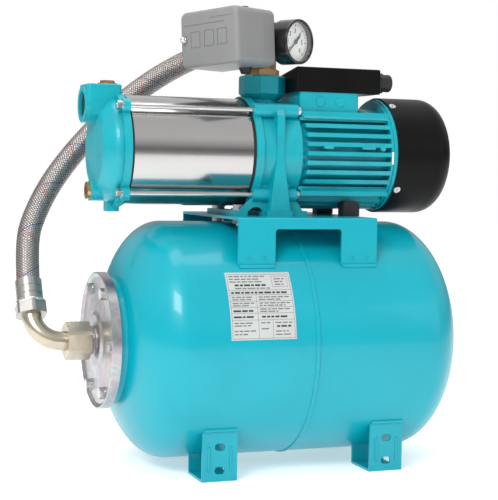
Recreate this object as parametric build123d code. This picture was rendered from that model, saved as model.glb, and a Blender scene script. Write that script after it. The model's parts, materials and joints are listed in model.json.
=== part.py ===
"""Booster set: multistage centrifugal water pump on a 24 litre pressure tank.

Millimetres, +Z up. The tank lies along X, the suction end points to -X and the fan end to +X.
Every sub-part is one node, written to parts/NODE.step.
"""
import math
import os

from build123d import *

# ---- tank ----
TANK_R = 140.0
TANK_Z = 152.0
TANK_CYL_HALF = 146.0
HEAD_DEPTH = 68.5
SHELL_T = 1.5
TANK_END = TANK_CYL_HALF + HEAD_DEPTH
HEAD_OPENING_R = 62.0
SEAM_W = 5.0
SEAM_H = 1.4
COUNTER_R = 74.0
COUNTER_BORE = 52.0
LABEL_LEFT_X = -104.5
LABEL_RIGHT_X = -27.0
BLADDER_A = 165.0
BLADDER_R = 118.0
BLADDER_T = 2.0
BLADDER_NECK = 50.0

# ---- tank flange, elbow and hose ----
FLANGE_R = 80.0
FLANGE_FACE_X = -226.0
FLANGE_RIM_X = -213.0
LIP_T = 2.5
FLANGE_BOLTS = 6
FLANGE_BOLT_R = 66.0
BOLT_TIP_X = -208.0
FLANGE_NECK_R = 16.6
FLANGE_NECK_BORE = 10.0
NUT_END_X = -243.0
NUT_LENGTH = 20.0
NUT_AF = 41.0
ELBOW_R = 11.25
ELBOW_BORE = 9.25
ELBOW_BEND = 33.0
ELBOW_LEAN = 30.0
ELBOW_TAIL = 10.0
HOSE_R = 13.75
HOSE_NUT_AF = 34.0
HOSE_NUT_L = 15.0
FERRULE_R = 15.6
FERRULE_L = 29.0
FERRULE_BORE = 9.25

# ---- feet and pump bracket ----
SHEET_T = 3.0
FOOT_X = 104.0
FOOT_W = 42.0
FOOT_FRONT_Y = 105.0
FOOT_BACK_Y = 53.0
SLOT_L = 12.5
SLOT_W = 8.5
SLOT_LOW_Z = 13.0
SLOT_PITCH_Z = 27.0
RIB_OFFSET = 13.0
RIB_R = 1.6
BRACKET_TOP = 300.0
BRACKET_HALF_X = 86.0
BRACKET_HALF_Y = 105.0
WINDOW_HALF_X = 41.0
WINDOW_TOP_Z = 287.0
BEAD_R = 2.4

# ---- pump ----
PUMP_Z = 374.5
BARREL_R = 64.0
BARREL_T = 1.5
COVER_BACK_X = -199.5
BARREL_LEFT_X = -196.5
BARREL_RIGHT_X = -53.7
GASKET_T = 3.0
COVER_FLANGE_T = 8.5
COVER_FLANGE_R = 67.0
COVER_NOSE_X = -228.0
COVER_NOSE_R = 46.0
PORT_Z = 426.0
PORT_FACE_X = -243.0
PORT_BOSS_R = 21.0
PORT_R = 15.15
PORT_L = 21.0
HOOD_LEFT_X = -241.0
HOOD_TOP_Z = 449.5
FILL_X = -213.0
FILL_R = 8.2
DRAIN_FACE_X = -233.0
DRAIN_Z = 327.0
DRAIN_R = 7.0
LUG_R = 8.0
TIE_PCD_R = 70.0
TIE_R = 3.0
STAGES = 5
STAGE_PITCH = 25.0
FIRST_STAGE_X = -188.0
IMPELLER_R = 50.0
OUTLET_X = -21.4
OUTLET_AF = 52.0
OUTLET_TOP_Z = 467.0
OUTLET_R = 15.15
OUTLET_L = 14.0
JOINT_R = 16.0
LANTERN_LEFT_X = -50.7
LANTERN_RIGHT_X = -16.0
LANTERN_R = 63.0
LEG_HALF_Y = 50.0
LEG_BASE_T = 6.0
PLATE_LEFT_X = -25.0
PLATE_HALF_Y = 64.0
PLATE_TOP_Z = 427.0
GUSSET_TOP_Z = 368.0
BRACKET_BOLTS = [(-62.0, -38.0), (-62.0, 38.0), (8.0, -38.0), (8.0, 38.0)]

# ---- motor ----
SHAFT_R = 7.5
SHIELD_RIGHT_X = 8.0
SHIELD_R = 62.5
HOUSING_RIGHT_X = 125.0
HOUSING_R = 56.5
HOUSING_BORE = 48.0
FIN_R = 67.0
FIN_T = 5.0
FIN_PITCH = 11.0
FINS_HALF = 4
STATOR_BORE = 30.0
CORE_LEFT_X = 30.0
CORE_RIGHT_X = 105.0
WINDING_L = 12.0
BEARING_W = 11.0
BEARING_R = 17.5
BEARING_PITCH_R = 12.5
BALL_R = 3.0
BALL_COUNT = 8
FRONT_BEARING_X = -7.0
REAR_BEARING_X = 119.0
REAR_SHIELD_RIGHT_X = 135.0
FAN_COVER_R = 71.0
FAN_COVER_LEFT_X = 129.0
COVER_SCREW_X = 133.0
COVER_SCREW_ANGLES = (35, 125, 215, 305)
FAN_COVER_RIGHT_X = 208.0
FAN_COVER_T = 2.0
FAN_COVER_ROUND = 25.0
FAN_R = 60.0
FAN_BLADES = 8

# ---- terminal box ----
BOX_LEFT_X = 10.0
BOX_RIGHT_X = 87.0
BOX_HALF_Y = 45.0
BOX_LOW_Z = 421.0
BOX_TOP_Z = 447.5
BOX_WALL = 6.0
KNOCKOUTS_X = (36.5, 62.0)
KNOCKOUT_Z = 436.5
KNOCKOUT_R = 5.8
LID_LEFT_X = 5.0
LID_RIGHT_X = 115.0
LID_HALF_Y = 46.0
LID_TOP_Z = 477.5
LID_BACK_Z = 463.5
LID_T = 3.0
LID_SCREWS_X = (20.0, 77.0)
LID_SCREW_Y = 42.0
LID_SCREW_Z = 462.5
GLAND_Y = -30.0
GLAND_Z = 462.0
CAPACITOR_Y = -24.0
CAPACITOR_Z = 461.0
CAPACITOR_R = 9.0
PAD_X = (68.0, 89.0)
PAD_Y = (32.0, 48.0)
PAD_TOP_Z = 318.0

# ---- five-way fitting, gauge and pressure switch ----
FITTING_TOP_Z = 530.0
FITTING_R = 16.6
FITTING_BORE = 12.5
FITTING_BRANCH_Z = 505.5
HOSE_BRANCH_Z = 503.0
GAUGE_AZ = -60.4
SWITCH_AZ = -150.4
HOSE_AZ = 119.6
GAUGE_R = 26.5
GAUGE_FACE_D = 56.5
GAUGE_BACK_D = 31.0
GAUGE_RIM = 3.2
DIAL_D = 48.5
SWITCH_NEAR_D = 29.5
SWITCH_SPLIT_D = 52.0
SWITCH_FAR_D = 98.0
SWITCH_W = 89.0
SWITCH_H = 65.0
SWITCH_WALL = 2.0
SWITCH_ROLL = 3.5
SWITCH_POST_Y = -36.0
CONE_D = 43.0
CONE_Y = 8.0
NEEDLE_REST = 225.0
HOSE_BRANCH_R = 15.5
HOSE_BRANCH_NUT_D = 17.0

# ---- tank air valve ----
VALVE_R = 6.0
VALVE_STEM_L = 9.0
VALVE_CAP_L = 11.0
VALVE_CAP_R = 7.5

RUN = 0.05  # radial clearance of pins, plugs and balls
GAP = 0.3   # gap between bodies that move past each other

# The row origin is under the middle of the set, so everything moves along X by this much.
ELBOW_CORNER_X = NUT_END_X - NUT_LENGTH - ELBOW_BEND
LEFT_END_X = ELBOW_CORNER_X - ELBOW_R
VALVE_TIP_X = TANK_END + VALVE_CAP_L + 3.0
SHIFT_X = -(LEFT_END_X + VALVE_TIP_X) / 2

LEAN = math.radians(ELBOW_LEAN)
ELBOW_END = Vector(
    ELBOW_CORNER_X,
    ELBOW_BEND * math.sin(LEAN),
    TANK_Z + ELBOW_BEND * math.cos(LEAN),
)
LEAN_DIR = Vector(0, math.sin(LEAN), math.cos(LEAN))

# Corners of the hose's centre line, from the tank elbow to the five-way fitting.
HOSE_ROUTE = [
    (-296, 38.25, 218.3),
    (-294, 64, 262),
    (-281, 81, 296),
    (-257, 93, 337),
    (-222, 101, 380),
    (-176, 107, 426),
    (-142, 108.5, 453),
    (-116, 107, 471),
    (-91, 99, 486),
    (-68, 81, 497.5),
    (-51.3, 52.6, 503),
]


# ---- helpers ----
def x_cylinder(radius, x0, x1, y=0.0, z=PUMP_Z):
    """Solid cylinder along X between two stations."""
    length = x1 - x0
    return Pos(x0 + length / 2, y, z) * Rot(0, 90, 0) * Cylinder(radius, length)


def x_tube(outer, inner, x0, x1, y=0.0, z=PUMP_Z):
    """Tube along X between two stations."""
    return x_cylinder(outer, x0, x1, y, z) - x_cylinder(inner, x0 - 1, x1 + 1, y, z)


def z_cylinder(radius, z0, z1, x=0.0, y=0.0):
    """Solid cylinder along Z between two heights."""
    return Pos(x, y, (z0 + z1) / 2) * Cylinder(radius, z1 - z0)


def block(x0, x1, y0, y1, z0, z1):
    """Box between opposite corners."""
    centre = Pos((x0 + x1) / 2, (y0 + y1) / 2, (z0 + z1) / 2)
    return centre * Box(x1 - x0, y1 - y0, z1 - z0)


def hexagon(across_flats, length):
    """Hexagonal prism along +Z, standing on the XY plane."""
    return extrude(RegularPolygon(across_flats / 2, 6, major_radius=False), length)


def x_hexagon(across_flats, x0, x1, y=0.0, z=PUMP_Z):
    """Hexagonal prism along X between two stations."""
    return Pos(x0, y, z) * Rot(0, 90, 0) * hexagon(across_flats, x1 - x0)


def revolved(points, x_shift=0.0, z=PUMP_Z):
    """Solid of revolution about an X axis, from (x, radius) corners."""
    corners = [(x, radius) for x, radius in points]
    face = make_face(Polyline(*corners, close=True))
    body = revolve(face, axis=Axis.X)
    return Pos(x_shift, 0, z) * body


def ring_points(count, radius, start_deg):
    """(y, z) offsets of points on a circle around an X axis."""
    points = []
    for index in range(count):
        angle = math.radians(start_deg + index * 360 / count)
        points.append((radius * math.sin(angle), radius * math.cos(angle)))
    return points


def branch(azimuth, z):
    """Frame on the five-way fitting: local +Z leaves the vertical axis at this azimuth."""
    return Pos(OUTLET_X, 0, z) * Rot(0, 0, azimuth) * Rot(0, 90, 0)


def solids(shapes):
    """Group of separate solids."""
    return Compound([part for shape in shapes for part in shape.solids()])


def tank_solid(radius, depth):
    """Closed tank body: a cylinder with two elliptical heads."""
    line = Line((-TANK_CYL_HALF, radius), (TANK_CYL_HALF, radius))
    right = EllipticalCenterArc((TANK_CYL_HALF, 0), depth, radius, start_angle=0, arc_size=90)
    left = EllipticalCenterArc((-TANK_CYL_HALF, 0), depth, radius, start_angle=90, arc_size=90)
    base = Line((-TANK_CYL_HALF - depth, 0), (TANK_CYL_HALF + depth, 0))
    face = make_face([line, right, left, base])
    return Pos(0, 0, TANK_Z) * revolve(face, axis=Axis.X)


TANK_OUTER = tank_solid(TANK_R, HEAD_DEPTH)
TANK_INNER = tank_solid(TANK_R - SHELL_T, HEAD_DEPTH - SHELL_T)


# ---- tank ----
def tank_left_shell():
    """Left half of the tank with its welded ring for the flange."""
    half = block(-TANK_END - 1, 0, -TANK_R - 1, TANK_R + 1, 0, TANK_Z + TANK_R + 1)
    shell = (TANK_OUTER - TANK_INNER) & half
    shell -= x_cylinder(HEAD_OPENING_R, -TANK_END - 1, -TANK_CYL_HALF, z=TANK_Z)
    ring = x_tube(COUNTER_R, COUNTER_BORE, FLANGE_RIM_X, -TANK_CYL_HALF - 10, z=TANK_Z)
    ring -= TANK_INNER
    for y, z in ring_points(FLANGE_BOLTS, FLANGE_BOLT_R, 30):
        ring -= x_cylinder(3.2, FLANGE_RIM_X - 1, BOLT_TIP_X + 0.5, y, TANK_Z + z)
    return shell + ring


def tank_right_shell():
    """Right half of the tank with the valve hole."""
    half = block(0, TANK_END + 1, -TANK_R - 1, TANK_R + 1, 0, TANK_Z + TANK_R + 1)
    shell = (TANK_OUTER - TANK_INNER) & half
    return shell - x_cylinder(VALVE_R, TANK_CYL_HALF, TANK_END + 1, z=TANK_Z)


def tank_seam_weld():
    """Weld bead around the middle of the tank."""
    half = SEAM_W / 2
    bead = x_cylinder(TANK_R + SEAM_H, -half, half, z=TANK_Z)
    bead = chamfer(bead.edges().filter_by(GeomType.CIRCLE), SEAM_H * 0.6)
    return bead - x_cylinder(TANK_R, -half - 1, half + 1, z=TANK_Z)


def tank_bladder():
    """Rubber bladder inside the tank, with its lip held under the flange."""
    def pear(length, radius, neck):
        face = make_face([
            EllipticalCenterArc((0, 0), length, radius, start_angle=0, arc_size=180),
            Line((-length, 0), (length, 0)),
        ])
        bulb = Pos(-25, 0, TANK_Z) * revolve(face, axis=Axis.X)
        return bulb + x_cylinder(neck, FLANGE_RIM_X, -120, z=TANK_Z)
    outer = pear(BLADDER_A, BLADDER_R, BLADDER_NECK)
    inner = pear(BLADDER_A - BLADDER_T, BLADDER_R - BLADDER_T, BLADDER_NECK - BLADDER_T)
    lip_out = 60.0
    lip = x_cylinder(lip_out, FLANGE_RIM_X - LIP_T, FLANGE_RIM_X, z=TANK_Z)
    body = outer + lip
    body -= inner
    return body - x_cylinder(BLADDER_NECK - BLADDER_T, FLANGE_RIM_X - LIP_T - 1, -180, z=TANK_Z)


def tank_flange():
    """Galvanised dished flange with its threaded neck."""
    back = FLANGE_RIM_X
    face = FLANGE_FACE_X
    body = revolved([
        (face, FLANGE_NECK_BORE),
        (face - 17, FLANGE_NECK_BORE),
        (face - 17, FLANGE_NECK_R - 1),
        (face - 16, FLANGE_NECK_R),
        (face, FLANGE_NECK_R),
        (face, 30),
        (face + 3, 34),
        (face + 5, 54),
        (face + 5, 74),
        (face + 2, 78),
        (face + 2, FLANGE_R - 1),
        (face + 3, FLANGE_R),
        (back, FLANGE_R),
        (back, 60.5),
        (back - LIP_T, 60.5),
        (back - LIP_T, FLANGE_NECK_BORE),
    ], z=TANK_Z)
    for y, z in ring_points(FLANGE_BOLTS, FLANGE_BOLT_R, 30):
        body -= x_cylinder(3.3, face - 1, back + 1, y, TANK_Z + z)
    return body


def flange_bolts():
    """Hex bolts of the tank flange."""
    bolts = []
    seat = FLANGE_FACE_X + 5
    for y, z in ring_points(FLANGE_BOLTS, FLANGE_BOLT_R, 30):
        head = x_hexagon(12, seat - 6.5, seat - 1.4, y, TANK_Z + z)
        washer = x_cylinder(7.2, seat - 1.4, seat, y, TANK_Z + z)
        bolts.append(head + washer + x_cylinder(3.0, seat - 1, BOLT_TIP_X, y, TANK_Z + z))
    return solids(bolts)


def tank_label():
    """Thin label wrapped on the front of the tank."""
    sheet = 0.4
    sector_low = 5.5
    sector_high = 38.0
    tube = x_tube(TANK_R + sheet, TANK_R, LABEL_LEFT_X, LABEL_RIGHT_X, z=TANK_Z)
    far = TANK_R * 2
    low = math.radians(sector_low)
    high = math.radians(sector_high)
    wedge = make_face(Polyline(
        (0, 0), (-far * math.cos(low), far * math.sin(low)),
        (-far * math.cos(high), far * math.sin(high)), close=True,
    ))
    prism = Pos(LABEL_LEFT_X, 0, TANK_Z) * Plane.YZ.location * extrude(wedge, LABEL_RIGHT_X - LABEL_LEFT_X)
    return tube & prism


def air_valve_body():
    """Valve stem in the right head, with a hollow seat."""
    stem = x_cylinder(VALVE_R, TANK_END - 6, TANK_END + VALVE_STEM_L, z=TANK_Z)
    stem -= x_cylinder(1.5 + RUN, TANK_END - 4, TANK_END + VALVE_STEM_L + 1, z=TANK_Z)
    return stem


def air_valve_pin():
    """Spring-loaded pin in the valve stem."""
    return x_cylinder(1.5, TANK_END - 1, TANK_END + VALVE_STEM_L - 1.5, z=TANK_Z)


def air_valve_cap():
    """Push-on plastic cap over the valve stem."""
    cap = x_cylinder(VALVE_CAP_R, VALVE_TIP_X - VALVE_CAP_L, VALVE_TIP_X, z=TANK_Z)
    cap = chamfer(cap.faces().sort_by(Axis.X)[-1].edges(), 1.2)
    return cap - x_cylinder(VALVE_R + RUN, 0, TANK_END + VALVE_STEM_L + GAP, z=TANK_Z)


# ---- feet and bracket ----
def foot(side_x, side_y):
    """One U-shaped foot strip; side_x and side_y are -1 or 1."""
    cx = side_x * FOOT_X
    half = FOOT_W / 2
    front = block(cx - half, cx + half, -FOOT_FRONT_Y, -FOOT_FRONT_Y + SHEET_T, 0, 75)
    base = block(cx - half, cx + half, -FOOT_FRONT_Y, -FOOT_BACK_Y, 0, SHEET_T)
    back = block(cx - half, cx + half, -FOOT_BACK_Y - SHEET_T, -FOOT_BACK_Y, 0, 40)
    strip = front + base + back
    strip = fillet(strip.edges().filter_by(Axis.X).group_by(Axis.Z)[0], 2.4)
    for offset in (-RIB_OFFSET, RIB_OFFSET):
        rib = Pos(cx + offset, -FOOT_FRONT_Y, SLOT_LOW_Z + SLOT_PITCH_Z / 2)
        strip += rib * Cylinder(RIB_R, SLOT_PITCH_Z)
    for row in (0, 1):
        slot = SlotOverall(SLOT_L, SLOT_W)
        at = Pos(cx, -FOOT_FRONT_Y + SHEET_T + 1, SLOT_LOW_Z + row * SLOT_PITCH_Z)
        strip -= at * Rot(90, 0, 0) * extrude(slot, SHEET_T * 3)
    strip -= TANK_OUTER
    strip -= block(cx - half - 1, cx + half + 1, -FOOT_FRONT_Y - 5, 0, 62, 80)
    if side_y > 0:
        strip = mirror(strip, about=Plane.XZ)
    return strip


def weld_beads():
    """Fillet welds where the foot plates and bracket legs meet the tank."""
    beads = []
    foot_z = TANK_Z - math.sqrt(TANK_R**2 - FOOT_FRONT_Y**2)
    leg_z = TANK_Z + math.sqrt(TANK_R**2 - BRACKET_HALF_Y**2)
    leg_half = (BRACKET_HALF_X - WINDOW_HALF_X) / 2
    for side_y in (-1, 1):
        for side_x in (-1, 1):
            for centre, half, z, y in (
                (FOOT_X, FOOT_W / 2, foot_z, FOOT_FRONT_Y + 0.4),
                (WINDOW_HALF_X + leg_half, leg_half, leg_z, BRACKET_HALF_Y + 0.4),
            ):
                x = side_x * centre
                bead = x_cylinder(BEAD_R, x - half + 1, x + half - 1, side_y * y, z)
                bead -= TANK_OUTER
                bead -= block(x - half, x + half, -FOOT_FRONT_Y, FOOT_FRONT_Y, z - 9, z + 9)
                beads.append(bead)
    return solids(beads)


def pump_bracket():
    """Folded sheet saddle that carries the pump."""
    top = block(-BRACKET_HALF_X, BRACKET_HALF_X, -BRACKET_HALF_Y, BRACKET_HALF_Y,
                BRACKET_TOP - SHEET_T, BRACKET_TOP)
    body = top
    low = 241.0
    for side in (-1, 1):
        y0 = side * BRACKET_HALF_Y
        y1 = side * (BRACKET_HALF_Y - SHEET_T)
        wall = block(-BRACKET_HALF_X, BRACKET_HALF_X, min(y0, y1), max(y0, y1), low, BRACKET_TOP)
        window = block(-WINDOW_HALF_X, WINDOW_HALF_X, min(y0, y1) - 1, max(y0, y1) + 1,
                       low - 10, WINDOW_TOP_Z)
        window = fillet(window.edges().filter_by(Axis.Y).group_by(Axis.Z)[-1], 4)
        wall -= window
        for sx in (-1, 1):
            for offset in (-9, 9):
                x = sx * (BRACKET_HALF_X + WINDOW_HALF_X) / 2 + offset
                dimple = Pos(x, y0, 254) * Rot(90, 0, 0) * Cylinder(2.6, 1.6)
                wall -= dimple
        body += wall
    body = fillet(body.edges().filter_by(Axis.X).group_by(Axis.Z)[-1], 2.4)
    body -= TANK_OUTER
    for x, y in BRACKET_BOLTS:
        body -= z_cylinder(4.5, 290, 310, x, y)
    return body


def bracket_bolts():
    """Hex bolts with nuts that hold the pump's leg on the bracket."""
    bolts = []
    for x, y in BRACKET_BOLTS:
        top = BRACKET_TOP + LEG_BASE_T
        bolt = z_cylinder(4.0, BRACKET_TOP - 12, top, x, y)
        bolt += z_cylinder(8.0, top, top + 1.5, x, y)
        bolt += Pos(x, y, top + 1.5) * hexagon(13, 5.3)
        bolt += Pos(x, y, BRACKET_TOP - SHEET_T - 6.5) * hexagon(13, 6.5)
        bolts.append(bolt)
    return solids(bolts)


# ---- wet end ----
def suction_cover():
    """Cast suction cover with the inlet port, filling block and drain boss."""
    back = COVER_BACK_X
    front = back - COVER_FLANGE_T
    shoulder_r = 61.0
    body = revolved([
        (back, 0), (back, COVER_FLANGE_R), (front, COVER_FLANGE_R), (front, shoulder_r + 0.5),
        (front - 7, shoulder_r), (COVER_NOSE_X, COVER_NOSE_R), (COVER_NOSE_X - 1.5, 0),
    ])
    rims = body.edges().filter_by(GeomType.CIRCLE)
    body = fillet([rim for rim in rims if rim.radius in (shoulder_r, COVER_NOSE_R)], 13)
    for y, z in ring_points(4, TIE_PCD_R, 45):
        body += x_cylinder(LUG_R, front, back, y, PUMP_Z + z)
    body += x_cylinder(PORT_BOSS_R, PORT_FACE_X, back, z=PORT_Z)
    hood = block(HOOD_LEFT_X, back - 1, -PORT_BOSS_R, PORT_BOSS_R, PORT_Z - 1, HOOD_TOP_Z)
    hood = fillet(hood.edges().filter_by(Axis.Z), 4)
    body += fillet(hood.faces().sort_by(Axis.Z)[-1].edges(), 2)
    body += block(-236, back - 1, -PORT_BOSS_R, PORT_BOSS_R, PORT_Z - 12, PORT_Z)
    body += x_cylinder(12, DRAIN_FACE_X, back, z=DRAIN_Z)
    body += block(-214, back, -8, 8, 303, 320)
    pocket = revolved([(back + 1, 0), (back + 1, 60), (front - 2, 57), (front - 12, 44), (front - 14, 0)])
    body -= pocket
    body -= x_cylinder(PORT_R, PORT_FACE_X - 1, PORT_FACE_X + PORT_L, z=PORT_Z)
    body -= x_cylinder(13, PORT_FACE_X, -206, z=PORT_Z)
    body -= z_cylinder(FILL_R + RUN, 436, HOOD_TOP_Z + 1, FILL_X)
    body -= x_cylinder(DRAIN_R + RUN, DRAIN_FACE_X - 1, -205, z=DRAIN_Z)
    for y, z in ring_points(4, TIE_PCD_R, 45):
        body -= x_cylinder(TIE_R + 0.2, front - 1, back + 1, y, PUMP_Z + z)
    return body


def filling_plug():
    """Brass filling plug on top of the suction cover."""
    collar_z = HOOD_TOP_Z + 1.8
    plug = z_cylinder(FILL_R, HOOD_TOP_Z - 10, HOOD_TOP_Z + 0.2, FILL_X)
    plug += z_cylinder(11, HOOD_TOP_Z + 0.02, collar_z, FILL_X)
    return plug + Pos(FILL_X, 0, collar_z) * hexagon(15, 3)


def drain_plug():
    """Brass drain plug at the foot of the suction cover."""
    face = DRAIN_FACE_X - 4
    plug = x_cylinder(DRAIN_R, DRAIN_FACE_X - 0.2, DRAIN_FACE_X + 11, z=DRAIN_Z)
    plug += x_cylinder(10, face, DRAIN_FACE_X - 0.02, z=DRAIN_Z)
    return plug - Pos(face - 1, 0, DRAIN_Z) * Rot(0, 90, 0) * hexagon(8, 4)


def barrel():
    """Polished stainless barrel."""
    return x_tube(BARREL_R, BARREL_R - BARREL_T, BARREL_LEFT_X, BARREL_RIGHT_X)


def barrel_gaskets():
    """Flat rings between the barrel and its two castings."""
    left = x_tube(BARREL_R + 0.8, BARREL_R - 4, COVER_BACK_X, BARREL_LEFT_X)
    right = x_tube(BARREL_R + 0.8, BARREL_R - 4, BARREL_RIGHT_X, LANTERN_LEFT_X)
    return solids([left, right])


def tie_rods():
    """Long rods that clamp the barrel."""
    rods = []
    start = COVER_BACK_X - COVER_FLANGE_T - 7
    for y, z in ring_points(4, TIE_PCD_R, 45):
        rods.append(x_cylinder(TIE_R, start, LANTERN_LEFT_X + 14, y, PUMP_Z + z))
    return solids(rods)


def tie_rod_nuts():
    """Hex nuts of the tie rods and of the motor's front shield."""
    nuts = []
    seat = COVER_BACK_X - COVER_FLANGE_T
    for y, z in ring_points(4, TIE_PCD_R, 45):
        nut = x_hexagon(10, seat - 6, seat - 1, y, PUMP_Z + z)
        nut += x_cylinder(6, seat - 1, seat, y, PUMP_Z + z)
        nuts.append(nut - x_cylinder(TIE_R, seat - 20, seat + 1, y, PUMP_Z + z))
        head = x_hexagon(10, SHIELD_RIGHT_X - 9, SHIELD_RIGHT_X - 4, y, PUMP_Z + z)
        shank = x_cylinder(TIE_R, LANTERN_RIGHT_X - 12, SHIELD_RIGHT_X - 8, y, PUMP_Z + z)
        nuts.append(head + shank)
    return solids(nuts)


def stage_diffusers():
    """Stainless stage cups in the barrel."""
    cups = []
    for index in range(STAGES):
        x = FIRST_STAGE_X + index * STAGE_PITCH
        cup = x_tube(60.5, 59.3, x, x + STAGE_PITCH - 0.4)
        cup += x_tube(60.5, 20, x + STAGE_PITCH - 1.6, x + STAGE_PITCH - 0.4)
        cups.append(cup)
    return solids(cups)


def impellers():
    """Closed impellers on the shaft, one per stage."""
    wheels = []
    blades = 6
    for index in range(STAGES):
        x = FIRST_STAGE_X + index * STAGE_PITCH + 4
        wheel = x_cylinder(IMPELLER_R, x + 8, x + 9.2)
        wheel += x_tube(IMPELLER_R, 19, x, x + 1.2)
        wheel += x_cylinder(11.5, x, x + 14)
        for number in range(blades):
            arm = block(x + 1, x + 8.2, -0.8, 0.8, 17, IMPELLER_R)
            turn = Pos(0, 0, PUMP_Z) * Rot(number * 360 / blades, 0, 0)
            wheel += turn * arm
        wheels.append(wheel - x_cylinder(SHAFT_R, x - 1, x + 15))
    return solids(wheels)


def lantern():
    """Cast delivery casing with the outlet boss, the upright plate and the leg."""
    base_z = BRACKET_TOP + LEG_BASE_T
    body = x_cylinder(LANTERN_R, LANTERN_LEFT_X, LANTERN_RIGHT_X)
    body += x_cylinder(COVER_FLANGE_R, LANTERN_LEFT_X, LANTERN_LEFT_X + 9)
    for y, z in ring_points(4, TIE_PCD_R, 45):
        body += x_cylinder(LUG_R, LANTERN_LEFT_X, LANTERN_RIGHT_X, y, PUMP_Z + z)
    boss_h = 29.0
    boss = extrude(RegularPolygon(OUTLET_AF / 2, 8, major_radius=False, rotation=22.5), boss_h)
    boss = chamfer(boss.faces().sort_by(Axis.Z)[-1].edges(), 2)
    boss = chamfer(boss.faces().sort_by(Axis.Z)[0].edges(), 7)
    body += Pos(OUTLET_X, 0, OUTLET_TOP_Z - boss_h) * boss
    body += z_cylinder(19, PUMP_Z + 40, OUTLET_TOP_Z - 20, OUTLET_X)
    plate = block(PLATE_LEFT_X, LANTERN_RIGHT_X, -PLATE_HALF_Y, PLATE_HALF_Y, base_z - 1, PLATE_TOP_Z)
    body += chamfer(plate.faces().sort_by(Axis.Z)[-1].edges().filter_by(Axis.X), 9)
    gusset = make_face(Polyline(
        (PLATE_LEFT_X, GUSSET_TOP_Z), (LANTERN_RIGHT_X, GUSSET_TOP_Z), (-7, base_z - 1), (-33, base_z - 1),
        close=True,
    ))
    body += Plane.XZ.location * extrude(gusset, PLATE_HALF_Y, both=True)
    web = make_face(Polyline(
        (-50.7, PUMP_Z), (-50.7, 322), (-66, base_z), (14, base_z), (-2, 330), (-16, PUMP_Z), close=True,
    ))
    leg = Plane.XZ.location * extrude(web, LEG_HALF_Y, both=True)
    body += leg
    base = block(-72, 20, -LEG_HALF_Y, LEG_HALF_Y, BRACKET_TOP, base_z)
    base += block(-36, -4, -PLATE_HALF_Y, PLATE_HALF_Y, BRACKET_TOP, base_z)
    body -= block(-70, -26, -LEG_HALF_Y + 8, LEG_HALF_Y - 8, 290, 318)
    body -= block(-14, 30, -LEG_HALF_Y + 10, LEG_HALF_Y - 10, 290, 313.5)
    body -= Pos(-45, 0, 300) * Rot(90, 0, 0) * Cylinder(10.5, 120)
    body += base - block(-55.5, -37, -LEG_HALF_Y - 1, LEG_HALF_Y + 1, 290, 320)
    body -= x_cylinder(BARREL_R + 2.5, -80, LANTERN_LEFT_X)
    body -= x_cylinder(FIN_R + 1, SHIELD_RIGHT_X, 40)
    body -= x_cylinder(SHIELD_R, LANTERN_RIGHT_X, SHIELD_RIGHT_X)
    for y, z in ring_points(4, TIE_PCD_R, 45):
        body -= x_cylinder(LUG_R, LANTERN_RIGHT_X, SHIELD_RIGHT_X, y, PUMP_Z + z)
    body -= x_cylinder(50, LANTERN_LEFT_X - 1, -26)
    body -= x_cylinder(14, -30, -15)
    body -= z_cylinder(JOINT_R, PUMP_Z + 44, OUTLET_TOP_Z + 1, OUTLET_X)
    for x, y in BRACKET_BOLTS:
        body -= z_cylinder(4.5, 290, 330, x, y)
        body -= z_cylinder(9.0, base_z, 322, x, y)
    for y, z in ring_points(4, TIE_PCD_R, 45):
        body -= x_cylinder(TIE_R, LANTERN_LEFT_X - 1, LANTERN_LEFT_X + 14, y, PUMP_Z + z)
        body -= x_cylinder(TIE_R, LANTERN_RIGHT_X - 12, LANTERN_RIGHT_X + 1, y, PUMP_Z + z)
    return body


def seal_seat():
    """Stationary ring of the shaft seal."""
    return x_tube(14, SHAFT_R + 1.0, -25, -18)


def seal_rotor():
    """Rotating head of the shaft seal."""
    return x_tube(13, SHAFT_R, -44, -25.05)


# ---- motor ----
def motor_front_shield():
    """Front end shield with the bearing pocket."""
    body = x_cylinder(SHIELD_R, LANTERN_RIGHT_X, SHIELD_RIGHT_X)
    for y, z in ring_points(4, TIE_PCD_R, 45):
        body += x_cylinder(LUG_R, LANTERN_RIGHT_X, SHIELD_RIGHT_X - 4, y, PUMP_Z + z)
        body -= x_cylinder(TIE_R, LANTERN_RIGHT_X - 1, SHIELD_RIGHT_X - 8, y, PUMP_Z + z)
        body -= x_cylinder(6.5, SHIELD_RIGHT_X - 9, SHIELD_RIGHT_X, y, PUMP_Z + z)
    body -= x_cylinder(BEARING_R, FRONT_BEARING_X, SHIELD_RIGHT_X + 1)
    body -= x_cylinder(SHAFT_R + 1.5, LANTERN_RIGHT_X - 1, SHIELD_RIGHT_X)
    return body - x_cylinder(44, SHIELD_RIGHT_X - 4, SHIELD_RIGHT_X + 1)


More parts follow.
